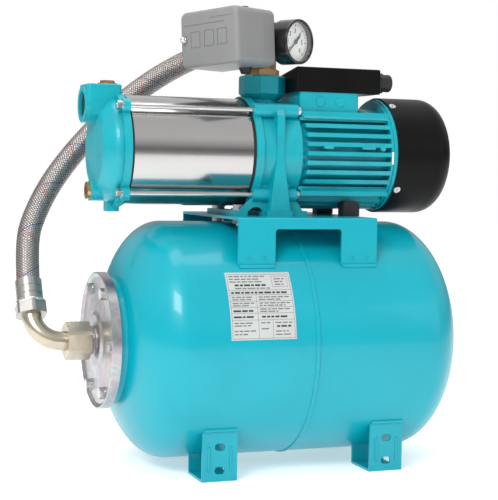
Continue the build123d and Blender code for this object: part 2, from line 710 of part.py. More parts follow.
def motor_housing():
    """Finned stator frame."""
    left = SHIELD_RIGHT_X
    right = HOUSING_RIGHT_X
    body = x_cylinder(HOUSING_R, left, right)
    envelope = x_cylinder(FIN_R, left + 5, right)
    plates = []
    for index in range(-FINS_HALF, FINS_HALF + 1):
        z = PUMP_Z + index * FIN_PITCH
        plates.append(block(left, right, -FIN_R, FIN_R, z - FIN_T / 2, z + FIN_T / 2))
        y = index * FIN_PITCH
        if abs(index) < FINS_HALF:
            plates.append(block(left, right, y - FIN_T / 2, y + FIN_T / 2, PUMP_Z - FIN_R, PUMP_Z))
    for plate in plates:
        body += plate & envelope
    for y, z in ring_points(4, TIE_PCD_R - 7, 45):
        body += Pos((left + right) / 2, y, PUMP_Z + z) * Box(right - left, 11, 11)
    body += x_tube(FIN_R, HOUSING_R - 1, right - 3, right)
    seat = block(BOX_LEFT_X, BOX_RIGHT_X, -BOX_HALF_Y, BOX_HALF_Y, BOX_LOW_Z, BOX_TOP_Z)
    body -= seat - x_cylinder(HOUSING_R, left, right)
    body -= x_cylinder(HOUSING_BORE, left - 1, right + 1)
    for y, z in ring_points(4, TIE_PCD_R, 45):
        body -= x_cylinder(6.5, left - 1, left + 3, y, PUMP_Z + z)
    return body


def stator_core():
    """Laminated stator ring."""
    return x_tube(HOUSING_BORE, STATOR_BORE, CORE_LEFT_X, CORE_RIGHT_X)


def stator_windings():
    """Coil heads on both sides of the core."""
    heads = []
    for x in (CORE_LEFT_X - WINDING_L, CORE_RIGHT_X):
        heads.append(x_tube(45, 32, x, x + WINDING_L))
    return solids(heads)


def motor_rear_shield():
    """Rear end shield with the bearing pocket."""
    body = x_cylinder(FAN_COVER_R - FAN_COVER_T, HOUSING_RIGHT_X, REAR_SHIELD_RIGHT_X)
    body += x_cylinder(22, REAR_BEARING_X - 2, HOUSING_RIGHT_X + 1)
    body -= x_cylinder(BEARING_R, REAR_BEARING_X - 3, REAR_BEARING_X + BEARING_W)
    body -= x_cylinder(SHAFT_R + 1.5, REAR_BEARING_X, REAR_SHIELD_RIGHT_X + 1)
    for angle in COVER_SCREW_ANGLES:
        body -= screw_axis(angle) * Pos(0, 0, FAN_COVER_R - 12) * Cylinder(1.8, 24)
    return body


def screw_axis(angle):
    """Frame of a radial fan-cover screw: local +Z leaves the pump axis at this angle."""
    return Pos(COVER_SCREW_X, 0, PUMP_Z) * Rot(angle, 0, 0)


def fan_cover():
    """Plastic fan cowl with a slotted rear face."""
    length = FAN_COVER_RIGHT_X - FAN_COVER_LEFT_X
    outer = x_cylinder(FAN_COVER_R, FAN_COVER_LEFT_X, FAN_COVER_RIGHT_X)
    outer = fillet(outer.faces().sort_by(Axis.X)[-1].edges(), FAN_COVER_ROUND)
    inner = x_cylinder(FAN_COVER_R - FAN_COVER_T, FAN_COVER_LEFT_X - 1, FAN_COVER_RIGHT_X - FAN_COVER_T)
    inner = fillet(inner.faces().sort_by(Axis.X)[-1].edges(), FAN_COVER_ROUND - FAN_COVER_T)
    body = outer - inner
    spokes = 12
    for index in range(spokes):
        for radius, reach in ((19, 10), (35, 12), (50, 9)):
            slot = Pos(FAN_COVER_LEFT_X + length, 0, PUMP_Z) * Rot(index * 360 / spokes, 0, 0)
            width = 3.2 + radius * 0.09
            body -= slot * Pos(0, 0, radius) * Box(70, width, reach)
    for angle in COVER_SCREW_ANGLES:
        body -= screw_axis(angle) * Pos(0, 0, FAN_COVER_R) * Cylinder(2.2, 12)
    return body


def cover_screws():
    """Pan-head screws of the fan cowl and of the terminal box lid."""
    screws = []
    for angle in COVER_SCREW_ANGLES:
        at = screw_axis(angle)
        screw = at * Pos(0, 0, FAN_COVER_R + 1.1) * Cylinder(4.2, 2.2)
        screw += at * Pos(0, 0, FAN_COVER_R - 5) * Cylinder(1.7, 10.5)
        screws.append(screw - at * Pos(0, 0, FAN_COVER_R + 2.2) * Box(0.9, 5.5, 1.6))
    for x in LID_SCREWS_X:
        screw = z_cylinder(3.1, LID_SCREW_Z, LID_SCREW_Z + 2, x, LID_SCREW_Y)
        screw += z_cylinder(1.5, BOX_TOP_Z - 8, LID_SCREW_Z + 0.5, x, LID_SCREW_Y)
        screws.append(screw - Pos(x, LID_SCREW_Y, LID_SCREW_Z + 2) * Box(5, 0.8, 1.6))
    return solids(screws)


def bearing_ring(x, inner, outer):
    """Bearing ring with its ball groove."""
    ring = x_tube(outer, inner, x, x + BEARING_W)
    groove = Pos(x + BEARING_W / 2, 0, PUMP_Z) * Rot(0, 90, 0) * Torus(BEARING_PITCH_R, BALL_R + RUN)
    return ring - groove


def bearing_outer_rings():
    """Outer rings of both ball bearings."""
    return solids([bearing_ring(x, 14.8, BEARING_R) for x in (FRONT_BEARING_X, REAR_BEARING_X)])


def bearing_inner_rings():
    """Inner rings of both ball bearings."""
    return solids([bearing_ring(x, SHAFT_R, 10.2) for x in (FRONT_BEARING_X, REAR_BEARING_X)])


def bearing_balls():
    """Balls of both bearings."""
    balls = []
    for x in (FRONT_BEARING_X, REAR_BEARING_X):
        for y, z in ring_points(BALL_COUNT, BEARING_PITCH_R, 0):
            balls.append(Pos(x + BEARING_W / 2, y, PUMP_Z + z) * Sphere(BALL_R))
    return solids(balls)


def rotor_shaft():
    """Common shaft of the pump and the motor."""
    shaft = x_cylinder(SHAFT_R, -192, 176)
    return chamfer(shaft.edges().filter_by(GeomType.CIRCLE), 1)


def rotor_core():
    """Squirrel-cage rotor body."""
    core = x_tube(STATOR_BORE - 0.4, SHAFT_R, CORE_LEFT_X, CORE_RIGHT_X)
    core += x_tube(27, 18, CORE_LEFT_X - 8, CORE_LEFT_X)
    core += x_tube(27, 18, CORE_RIGHT_X, CORE_RIGHT_X + 8)
    return core


def cooling_fan():
    """Radial fan on the rear shaft end."""
    body = x_tube(13, SHAFT_R, 142, 168) + x_tube(FAN_R, 12, 142, 144)
    for index in range(FAN_BLADES):
        blade = block(143, 164, -1, 1, 12, FAN_R)
        body += Pos(0, 0, PUMP_Z) * Rot(index * 360 / FAN_BLADES, 0, 0) * blade
    return body


def terminal_box_base():
    """Cast lower half of the terminal box with blind round knockouts."""
    body = block(BOX_LEFT_X, BOX_RIGHT_X, -BOX_HALF_Y, BOX_HALF_Y, BOX_LOW_Z, BOX_TOP_Z)
    body = fillet(body.edges().filter_by(Axis.Z), 4)
    body -= x_cylinder(HOUSING_R, 0, HOUSING_RIGHT_X)
    floor_z = PUMP_Z + HOUSING_R + 4
    body -= block(BOX_LEFT_X + BOX_WALL, BOX_RIGHT_X - BOX_WALL, -BOX_HALF_Y + BOX_WALL,
                  BOX_HALF_Y - BOX_WALL, floor_z, BOX_TOP_Z + 1)
    for side in (-1, 1):
        for x in KNOCKOUTS_X:
            disc = fillet(Cylinder(KNOCKOUT_R, 2.6).edges(), 0.7)
            body += Pos(x, side * BOX_HALF_Y, KNOCKOUT_Z) * Rot(90, 0, 0) * disc
    for x in LID_SCREWS_X:
        body -= z_cylinder(1.5, BOX_TOP_Z - 8, BOX_TOP_Z + 1, x, LID_SCREW_Y)
    return body


def terminal_box_lid():
    """Plastic lid over the terminals and the capacitor; its top falls towards the back."""
    profile = make_face(Polyline(
        (-LID_HALF_Y, BOX_TOP_Z), (LID_HALF_Y, BOX_TOP_Z), (LID_HALF_Y, LID_BACK_Z), (-LID_HALF_Y, LID_TOP_Z),
        close=True,
    ))
    body = Plane.YZ.location * extrude(profile, LID_RIGHT_X - LID_LEFT_X)
    body = Pos(LID_LEFT_X, 0, 0) * body
    body = fillet(body.edges().filter_by(Axis.Z), 3)
    body = fillet(body.faces().sort_by(Axis.Z)[-1].edges(), 2)
    body -= block(BOX_LEFT_X + 6, BOX_RIGHT_X - 6, -38, 38, BOX_TOP_Z - 1, LID_TOP_Z - 17)
    tunnel_top = CAPACITOR_Z + CAPACITOR_R + 0.4
    body -= block(BOX_LEFT_X + 20, LID_RIGHT_X - LID_T, -36, -13, BOX_TOP_Z + LID_T, tunnel_top)
    body -= x_cylinder(6.0, LID_RIGHT_X - 8, LID_RIGHT_X + 1, GLAND_Y, GLAND_Z)
    for x in LID_SCREWS_X:
        body -= z_cylinder(3.4, LID_SCREW_Z, LID_TOP_Z, x, LID_SCREW_Y)
        body -= z_cylinder(1.5, BOX_TOP_Z - 1, LID_TOP_Z, x, LID_SCREW_Y)
    return body


def run_capacitor():
    """Motor run capacitor in the lid."""
    can = x_cylinder(CAPACITOR_R, 34, 98, CAPACITOR_Y, CAPACITOR_Z)
    return fillet(can.edges().filter_by(GeomType.CIRCLE), 1)


def cable_glands():
    """Cable gland of the terminal box and the two rubber cones of the pressure switch."""
    start = LID_RIGHT_X
    gland = x_cylinder(11.5, start, start + 4, GLAND_Y, GLAND_Z)
    gland += x_hexagon(21, start + 3, start + 9, GLAND_Y, GLAND_Z)
    cap = x_cylinder(10.6, start + 8, start + 19, GLAND_Y, GLAND_Z)
    gland += fillet(cap.faces().sort_by(Axis.X)[-1].edges(), 2.5)
    parts = [gland - x_cylinder(5, start - 1, start + 20, GLAND_Y, GLAND_Z)]
    for side in (-1, 1):
        at = switch_frame() * Pos(0, CONE_Y, CONE_D) * Rot(0, -90 * side, 0)
        cone = Pos(0, 0, SWITCH_H / 2 + 3.5) * Cone(8.2, 5.4, 7)
        parts.append(at * (cone - Pos(0, 0, SWITCH_H / 2 + 8) * Cylinder(3.2, 20)))
    return solids(parts)


def motor_rubber_foot():
    """Rubber pads between the motor and the bracket."""
    pads = []
    for side in (-1, 1):
        y0, y1 = sorted((side * PAD_Y[0], side * PAD_Y[1]))
        pad = block(PAD_X[0], PAD_X[1], y0, y1, BRACKET_TOP, PAD_TOP_Z)
        pad = chamfer(pad.faces().sort_by(Axis.Z)[-1].edges().filter_by(Axis.Y), 3)
        pads.append(pad - x_cylinder(FIN_R, 40, HOUSING_RIGHT_X))
    return solids(pads)


# ---- five-way fitting, gauge, switch ----
def five_way_fitting():
    """Brass five-way fitting on the outlet."""
    body = z_cylinder(JOINT_R, OUTLET_TOP_Z - 14, OUTLET_TOP_Z, OUTLET_X)
    body += z_cylinder(FITTING_R, OUTLET_TOP_Z, FITTING_TOP_Z, OUTLET_X)
    body += Pos(OUTLET_X, 0, OUTLET_TOP_Z) * hexagon(38, 7)
    body += Pos(OUTLET_X, 0, FITTING_TOP_Z - 7.5) * hexagon(35, 7.5)
    body += branch(GAUGE_AZ, FITTING_BRANCH_Z) * Pos(0, 0, 11) * Cylinder(10, 22)
    body += branch(SWITCH_AZ, FITTING_BRANCH_Z) * Pos(0, 0, 10) * Cylinder(10, 20)
    body += branch(HOSE_AZ, HOSE_BRANCH_Z) * Pos(0, 0, 15) * Cylinder(HOSE_BRANCH_R, 30)
    port_floor = FITTING_TOP_Z - OUTLET_L
    body -= z_cylinder(FITTING_BORE, OUTLET_TOP_Z - 15, port_floor + 1, OUTLET_X)
    body -= z_cylinder(OUTLET_R, port_floor, FITTING_TOP_Z + 1, OUTLET_X)
    body -= branch(HOSE_AZ, HOSE_BRANCH_Z) * Pos(0, 0, 20) * Cylinder(11, 40)
    body -= branch(GAUGE_AZ, FITTING_BRANCH_Z) * Pos(0, 0, 17) * Cylinder(5.5, 20)
    body -= branch(SWITCH_AZ, FITTING_BRANCH_Z) * Pos(0, 0, 17) * Cylinder(5.5, 20)
    return body


def gauge_at(distance):
    """Frame on the gauge axis at a distance from the fitting's axis."""
    return branch(GAUGE_AZ, FITTING_BRANCH_Z) * Pos(0, 0, distance)


def gauge_case():
    """Pressure gauge case with its stem."""
    depth = GAUGE_FACE_D - GAUGE_BACK_D
    body = gauge_at(GAUGE_BACK_D + depth / 2) * Cylinder(GAUGE_R, depth)
    body = fillet(body.edges().filter_by(GeomType.CIRCLE), 1.5)
    inner = GAUGE_R - GAUGE_RIM
    body -= gauge_at(DIAL_D + 20) * Cylinder(inner, 40)
    body -= gauge_at(DIAL_D - 3) * Cylinder(1.0 + RUN, 10)
    body += gauge_at(GAUGE_BACK_D - 4.4) * Cylinder(8, 9.2)
    body += gauge_at(14) * Pos(0, 0, 4) * Cylinder(5.5, 18)
    return body


def gauge_dial():
    """White dial plate."""
    plate = Cylinder(GAUGE_R - GAUGE_RIM, 0.8) - Cylinder(1.0 + RUN, 2)
    return gauge_at(DIAL_D + 0.4) * plate


def gauge_needle():
    """Needle with its tail and arbor, at rest on the zero mark."""
    hub = Cylinder(2.6, 1.6)
    arm = Pos(0, 8.5, 0) * Box(1.1, 17, 0.7)
    tail = Pos(0, -4.5, 0) * Box(2.2, 7, 0.7)
    arbor = Pos(0, 0, -3) * Cylinder(1.0, 7)
    return gauge_at(DIAL_D + 2.2) * Rot(0, 0, NEEDLE_REST) * (hub + arm + tail + arbor)


def gauge_glass():
    """Gauge window."""
    return gauge_at(GAUGE_FACE_D - 1.5) * Cylinder(GAUGE_R - GAUGE_RIM, 1.5)


def switch_frame():
    """Frame of the pressure switch: local +Z leaves the fitting, local X is vertical."""
    return branch(SWITCH_AZ, FITTING_BRANCH_Z) * Rot(0, 0, SWITCH_ROLL)


def switch_block(near, far, inset, round_r):
    """Rounded box of the switch between two distances from the fitting's axis."""
    rect = RectangleRounded(SWITCH_H - 2 * inset, SWITCH_W - 2 * inset, round_r)
    return switch_frame() * Pos(0, 0, near) * extrude(rect, far - near)


def switch_base():
    """Metal base of the pressure switch with its threaded nut."""
    body = switch_block(SWITCH_NEAR_D, SWITCH_SPLIT_D, 0, 8)
    rim = body.faces().sort_by_distance(Vector(OUTLET_X, 0, FITTING_BRANCH_Z))[0]
    body = fillet(rim.edges(), 4)
    body -= switch_block(SWITCH_NEAR_D + 3, SWITCH_SPLIT_D + 1, SWITCH_WALL, 6)
    body += switch_frame() * Pos(0, 0, 20) * hexagon(20, SWITCH_NEAR_D - 19)
    body += switch_frame() * Pos(0, 0, 14) * Cylinder(5.5, 14)
    post = extrude(Circle(2.5), SWITCH_FAR_D - 1 - SWITCH_NEAR_D)
    return body + switch_frame() * Pos(0, SWITCH_POST_Y, SWITCH_NEAR_D + 2) * post


def switch_cover():
    """Plastic cover of the pressure switch with shallow panels on its end face."""
    body = switch_block(SWITCH_SPLIT_D, SWITCH_FAR_D, 0, 8)
    far_face = body.faces().sort_by_distance(Vector(OUTLET_X, 0, FITTING_BRANCH_Z))[-1]
    body = fillet(far_face.edges(), 5)
    body -= switch_block(SWITCH_SPLIT_D - 1, SWITCH_FAR_D - SWITCH_WALL, SWITCH_WALL, 6)
    body -= switch_frame() * Pos(0, SWITCH_POST_Y, SWITCH_FAR_D) * Cylinder(2.6, 12)
    face = switch_frame() * Pos(0, 0, SWITCH_FAR_D)
    for y in (-20, 1, 21):
        body -= face * Pos(1, y, 0) * (Box(19, 15, 1.2) - Box(17, 13, 2))
    body -= face * Pos(-16, -6, 0) * Box(1.4, 62, 1.2)
    return body - face * Pos(-22, 20, 0) * Box(1.4, 34, 1.2)


def switch_cap_nut():
    """Acorn nut that holds the switch cover."""
    at = switch_frame() * Pos(0, SWITCH_POST_Y, SWITCH_FAR_D)
    nut = hexagon(8, 4) + Pos(0, 0, 4) * Sphere(3.6)
    return at * (nut - Cylinder(2.5, 3))


def switch_lever():
    """Rocking lever with the contact bridge inside the switch."""
    at = switch_frame() * Pos(0, 0, SWITCH_NEAR_D + 18)
    plate = Box(30, 46, 1.6)
    pivot = Pos(0, -23, 0) * Rot(0, 90, 0) * Cylinder(2.0, 30)
    bridge = Pos(0, 16, 4) * Box(26, 5, 7)
    return at * (plate + pivot + bridge)


# ---- elbow and hose ----
def elbow_path(start_x):
    """Centre line of the elbow: straight, bend, short straight."""
    bend_start = Vector(NUT_END_X - NUT_LENGTH, 0, TANK_Z)
    first = Line((start_x, 0, TANK_Z), bend_start)
    bend = TangentArc(bend_start, ELBOW_END, tangent=(-1, 0, 0))
    tail = Line(ELBOW_END, ELBOW_END + LEAN_DIR * ELBOW_TAIL)
    return first + bend + tail


def swept(path, radius):
    """Round bar along a path."""
    start = path @ 0
    plane = Plane(origin=start, z_dir=path % 0)
    return sweep(plane * Circle(radius), path=path)


def tank_elbow():
    """Brass elbow from the flange neck up to the hose."""
    path = elbow_path(NUT_END_X - 0.2)
    body = swept(path, ELBOW_R) - swept(path, ELBOW_BORE)
    collar = x_tube(14, ELBOW_BORE, NUT_END_X - 4.2, NUT_END_X - 0.2, z=TANK_Z)
    return body + collar


def elbow_nut():
    """Union nut between the flange neck and the elbow."""
    nut = x_hexagon(NUT_AF, NUT_END_X - NUT_LENGTH + 3, NUT_END_X + 11, z=TANK_Z)
    nut &= x_cylinder(NUT_AF / 2 + 2, NUT_END_X - NUT_LENGTH, NUT_END_X + 20, z=TANK_Z)
    nut -= x_cylinder(ELBOW_R + 0.2, NUT_END_X - NUT_LENGTH - 1, NUT_END_X, z=TANK_Z)
    nut -= x_cylinder(14.2, NUT_END_X - 4.4, NUT_END_X + 0.1, z=TANK_Z)
    return nut - x_cylinder(FLANGE_NECK_R, NUT_END_X, NUT_END_X + 21, z=TANK_Z)


def hose_fittings(inner_r):
    """One hose end along +Z: hex nut then crimped ferrule."""
    nut = hexagon(HOSE_NUT_AF, HOSE_NUT_L) & Cylinder(
        HOSE_NUT_AF / 2 + 1.6, HOSE_NUT_L, align=(Align.CENTER, Align.CENTER, Align.MIN))
    nut -= Cylinder(inner_r, HOSE_NUT_L - 2, align=(Align.CENTER, Align.CENTER, Align.MIN))
    nut -= Cylinder(FERRULE_BORE, HOSE_NUT_L * 2)
    ferrule = Pos(0, 0, HOSE_NUT_L) * Cylinder(
        FERRULE_R, FERRULE_L, align=(Align.CENTER, Align.CENTER, Align.MIN))
    ferrule -= Cylinder(FERRULE_BORE, HOSE_NUT_L * 2 + FERRULE_L * 2)
    for groove in (9, 18):
        ferrule -= Pos(0, 0, HOSE_NUT_L + groove) * (Cylinder(FERRULE_R + 1, 2.4) - Cylinder(FERRULE_R - 0.7, 3))
    return [nut, ferrule]


def hose_end_fittings():
    """Nuts and ferrules at both hose ends."""
    low = Plane(origin=ELBOW_END, z_dir=LEAN_DIR)
    parts = [low.location * piece for piece in hose_fittings(ELBOW_R + 0.2)]
    high = branch(HOSE_AZ, HOSE_BRANCH_Z) * Pos(0, 0, HOSE_BRANCH_NUT_D)
    parts += [high * piece for piece in hose_fittings(HOSE_BRANCH_R + 0.2)]
    return solids(parts)


def hose():
    """Braided hose from the tank elbow to the five-way fitting."""
    points = [Vector(*corner) for corner in HOSE_ROUTE]
    radii = []
    for before, here, after in zip(points, points[1:], points[2:]):
        first = here - before
        second = after - here
        half_turn = math.radians(first.get_angle(second)) / 2
        radii.append(0.45 * min(first.length, second.length) / math.tan(half_turn))
    print("hose bend radii", [round(radius, 1) for radius in radii])
    path = FilletPolyline(*points, radius=radii)
    print("hose length", round(path.length, 1))
    return swept(path, HOSE_R)


NODES = {
    "tank_left_shell": tank_left_shell,
    "tank_right_shell": tank_right_shell,
    "tank_seam_weld": tank_seam_weld,
    "tank_bladder": tank_bladder,
    "tank_flange": tank_flange,
    "flange_bolts": flange_bolts,
    "tank_label": tank_label,
    "air_valve_body": air_valve_body,
    "air_valve_pin": air_valve_pin,
    "air_valve_cap": air_valve_cap,
    "foot_front_left": lambda: foot(-1, -1),
    "foot_front_right": lambda: foot(1, -1),
    "foot_rear_left": lambda: foot(-1, 1),
    "foot_rear_right": lambda: foot(1, 1),
    "weld_beads": weld_beads,
    "pump_bracket": pump_bracket,
    "bracket_bolts": bracket_bolts,
    "suction_cover": suction_cover,
    "filling_plug": filling_plug,
    "drain_plug": drain_plug,
    "barrel": barrel,
    "barrel_gaskets": barrel_gaskets,
    "tie_rods": tie_rods,
    "tie_rod_nuts": tie_rod_nuts,
    "stage_diffusers": stage_diffusers,
    "impellers": impellers,
    "lantern": lantern,
    "seal_seat": seal_seat,
    "seal_rotor": seal_rotor,
    "motor_front_shield": motor_front_shield,
    "motor_housing": motor_housing,
    "stator_core": stator_core,
    "stator_windings": stator_windings,
    "motor_rear_shield": motor_rear_shield,
    "fan_cover": fan_cover,
    "cover_screws": cover_screws,
    "bearing_outer_rings": bearing_outer_rings,
    "bearing_inner_rings": bearing_inner_rings,
    "bearing_balls": bearing_balls,
    "rotor_shaft": rotor_shaft,
    "rotor_core": rotor_core,
    "cooling_fan": cooling_fan,
    "terminal_box_base": terminal_box_base,
    "terminal_box_lid": terminal_box_lid,
    "run_capacitor": run_capacitor,
    "cable_glands": cable_glands,
    "motor_rubber_foot": motor_rubber_foot,
    "five_way_fitting": five_way_fitting,
    "gauge_case": gauge_case,
    "gauge_dial": gauge_dial,
    "gauge_needle": gauge_needle,
    "gauge_glass": gauge_glass,
    "switch_base": switch_base,
    "switch_cover": switch_cover,
    "switch_cap_nut": switch_cap_nut,
    "switch_lever": switch_lever,
    "tank_elbow": tank_elbow,
    "elbow_nut": elbow_nut,
    "hose_end_fittings": hose_end_fittings,
    "hose": hose,
}


def main():
    """Build every node and write its STEP file."""
    os.makedirs("parts", exist_ok=True)
    for name, make in NODES.items():
        export_step(Pos(SHIFT_X, 0, 0) * make(), f"parts/{name}.step")


main()
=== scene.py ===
"""Looks of the booster set: a multistage water pump on a pressure tank.

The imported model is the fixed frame. This script dresses it and adds the fine pieces that the
design model leaves plain: threads, gauge markings, label print, the braided hose and such.
Lengths are metres.
"""

import json
import logging
import math
import random
from dataclasses import dataclass, field
from enum import Enum
from typing import Dict, List, Sequence, Tuple

import bpy
import bmesh
from mathutils import Matrix, Vector

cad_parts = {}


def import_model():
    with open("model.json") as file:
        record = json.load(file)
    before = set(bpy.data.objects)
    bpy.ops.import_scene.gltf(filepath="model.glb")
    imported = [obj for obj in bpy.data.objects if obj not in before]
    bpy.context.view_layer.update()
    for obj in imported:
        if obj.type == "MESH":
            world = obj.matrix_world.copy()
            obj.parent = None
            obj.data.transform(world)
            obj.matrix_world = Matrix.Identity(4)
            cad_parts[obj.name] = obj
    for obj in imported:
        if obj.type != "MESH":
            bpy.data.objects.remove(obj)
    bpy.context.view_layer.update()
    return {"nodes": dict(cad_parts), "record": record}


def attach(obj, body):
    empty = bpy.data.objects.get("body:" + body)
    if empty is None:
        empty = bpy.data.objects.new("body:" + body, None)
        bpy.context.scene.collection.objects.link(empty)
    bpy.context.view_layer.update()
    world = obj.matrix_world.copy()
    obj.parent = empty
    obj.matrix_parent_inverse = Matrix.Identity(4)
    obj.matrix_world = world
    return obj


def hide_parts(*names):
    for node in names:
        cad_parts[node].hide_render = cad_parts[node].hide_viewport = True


LOG = logging.getLogger("pump_set")

Point = Tuple[float, float, float]
Colour = Tuple[float, float, float]

MM = 0.001
SHIFT_X = 39.375
PUMP_Z = 374.5
TANK_Z = 152.0
TANK_R = 140.0
STATIC = "pump_set"
NEEDLE = "needle"
GLASS_ALPHA = 0.07
RED_TRACER = (0.42, 0.07, 0.06)
BLUE_TRACER = (0.05, 0.07, 0.25)
TRACER_WIDTH = 0.017
TRACER_STRENGTH = 0.6
LABEL_RULES = (0.02, 0.30, 0.40, 0.49, 0.58, 0.675, 0.745, 0.975)
FLOOR_GLOW = 0.42
SURROUND = ((0.0, 0.85), (0.40, 0.80), (0.49, 0.35), (0.53, 0.22), (0.60, 0.60), (0.72, 1.0), (1.0, 0.9))


def place(x: float, y: float, z: float) -> Vector:
    """A point given in millimetres from the tank's middle, in the frame's metres.

    Args:
        x: distance along the tank, towards the fan end.
        y: distance towards the back.
        z: height over the floor.

    Returns:
        The point in metres.
    """
    return Vector(((x + SHIFT_X) * MM, y * MM, z * MM))


# ---------------------------------------------------------------- node tools


class Wires:
    """Small helper that adds and links shader nodes in one tree."""

    def __init__(self, tree: bpy.types.NodeTree) -> None:
        """Args: tree: the node tree to fill."""
        self.tree = tree

    def add(self, kind: str, **settings: object) -> bpy.types.Node:
        """Adds a node and sets plain attributes on it.

        Args:
            kind: Blender's node type name.
            **settings: attributes of the node.

        Returns:
            The new node.
        """
        node = self.tree.nodes.new(kind)
        for name, value in settings.items():
            setattr(node, name, value)
        return node

    def join(self, source: bpy.types.NodeSocket, target: bpy.types.NodeSocket) -> None:
        """Links one socket to another."""
        self.tree.links.new(source, target)

    def value(self, operation: str, first: object, second: object = None) -> bpy.types.NodeSocket:
        """A Math node whose inputs are sockets or numbers.

        Args:
            operation: the node's operation.
            first: socket or number.
            second: socket or number, or None.

        Returns:
            The result socket.
        """
        node = self.add("ShaderNodeMath", operation=operation)
        for slot, item in enumerate((first, second)):
            if item is None:
                continue
            if isinstance(item, (int, float)):
                node.inputs[slot].default_value = item
            else:
                self.join(item, node.inputs[slot])
        return node.outputs[0]

    def mix(self, factor: object, low: object, high: object) -> bpy.types.NodeSocket:
        """Mixes two colours.

        Args:
            factor: socket or number.
            low: colour or socket at 0.
            high: colour or socket at 1.

        Returns:
            The mixed colour socket.
        """
        node = self.add("ShaderNodeMix", data_type="RGBA")
        for slot, item in ((0, factor), (6, low), (7, high)):
            if isinstance(item, (int, float)):
                node.inputs[slot].default_value = item
            elif isinstance(item, tuple):
                node.inputs[slot].default_value = (*item, 1.0)
            else:
                self.join(item, node.inputs[slot])
        return node.outputs[2]

    def spread(self, source: bpy.types.NodeSocket, low: float, high: float,
               start: float = 0.0, end: float = 1.0) -> bpy.types.NodeSocket:
        """Maps a value from start..end onto low..high, clamped."""
        node = self.add("ShaderNodeMapRange")
        self.join(source, node.inputs[0])
        for slot, number in ((1, start), (2, end), (3, low), (4, high)):
            node.inputs[slot].default_value = number
        return node.outputs[0]


def grain_group() -> bpy.types.NodeTree:
    """Shared effect: fine grain, broad mottling and thin scratches over a surface.

    Returns:
        The node group, with outputs Grain, Mottle and Scratch.
    """
    name = "surface_grain"
    if name in bpy.data.node_groups:
        return bpy.data.node_groups[name]
    tree = bpy.data.node_groups.new(name, "ShaderNodeTree")
    face = tree.interface
    face.new_socket("Vector", in_out="INPUT", socket_type="NodeSocketVector")
    for label, start in (("Grain Scale", 900.0), ("Mottle Scale", 18.0), ("Scratch Scale", 160.0)):
        socket = face.new_socket(label, in_out="INPUT", socket_type="NodeSocketFloat")
        socket.default_value = start
    for label in ("Grain", "Mottle", "Scratch"):
        face.new_socket(label, in_out="OUTPUT", socket_type="NodeSocketFloat")
    wires = Wires(tree)
    entry = wires.add("NodeGroupInput")
    leave = wires.add("NodeGroupOutput")
    grain = wires.add("ShaderNodeTexNoise")
    grain.inputs["Detail"].default_value = 4.0
    mottle = wires.add("ShaderNodeTexNoise")
    mottle.inputs["Detail"].default_value = 6.0
    scratch = wires.add("ShaderNodeTexNoise")
    scratch.inputs["Detail"].default_value = 2.0
    scratch.inputs["Distortion"].default_value = 1.5
    for node, label in ((grain, "Grain Scale"), (mottle, "Mottle Scale"), (scratch, "Scratch Scale")):
        wires.join(entry.outputs["Vector"], node.inputs["Vector"])
        wires.join(entry.outputs[label], node.inputs["Scale"])
    wires.join(grain.outputs[0], leave.inputs["Grain"])
    wires.join(wires.spread(mottle.outputs[0], 0.0, 1.0, 0.3, 0.7), leave.inputs["Mottle"])
    line = wires.value("ABSOLUTE", wires.value("SUBTRACT", scratch.outputs[0], 0.5))
    wires.join(wires.spread(line, 1.0, 0.0, 0.0, 0.012), leave.inputs["Scratch"])
    return tree


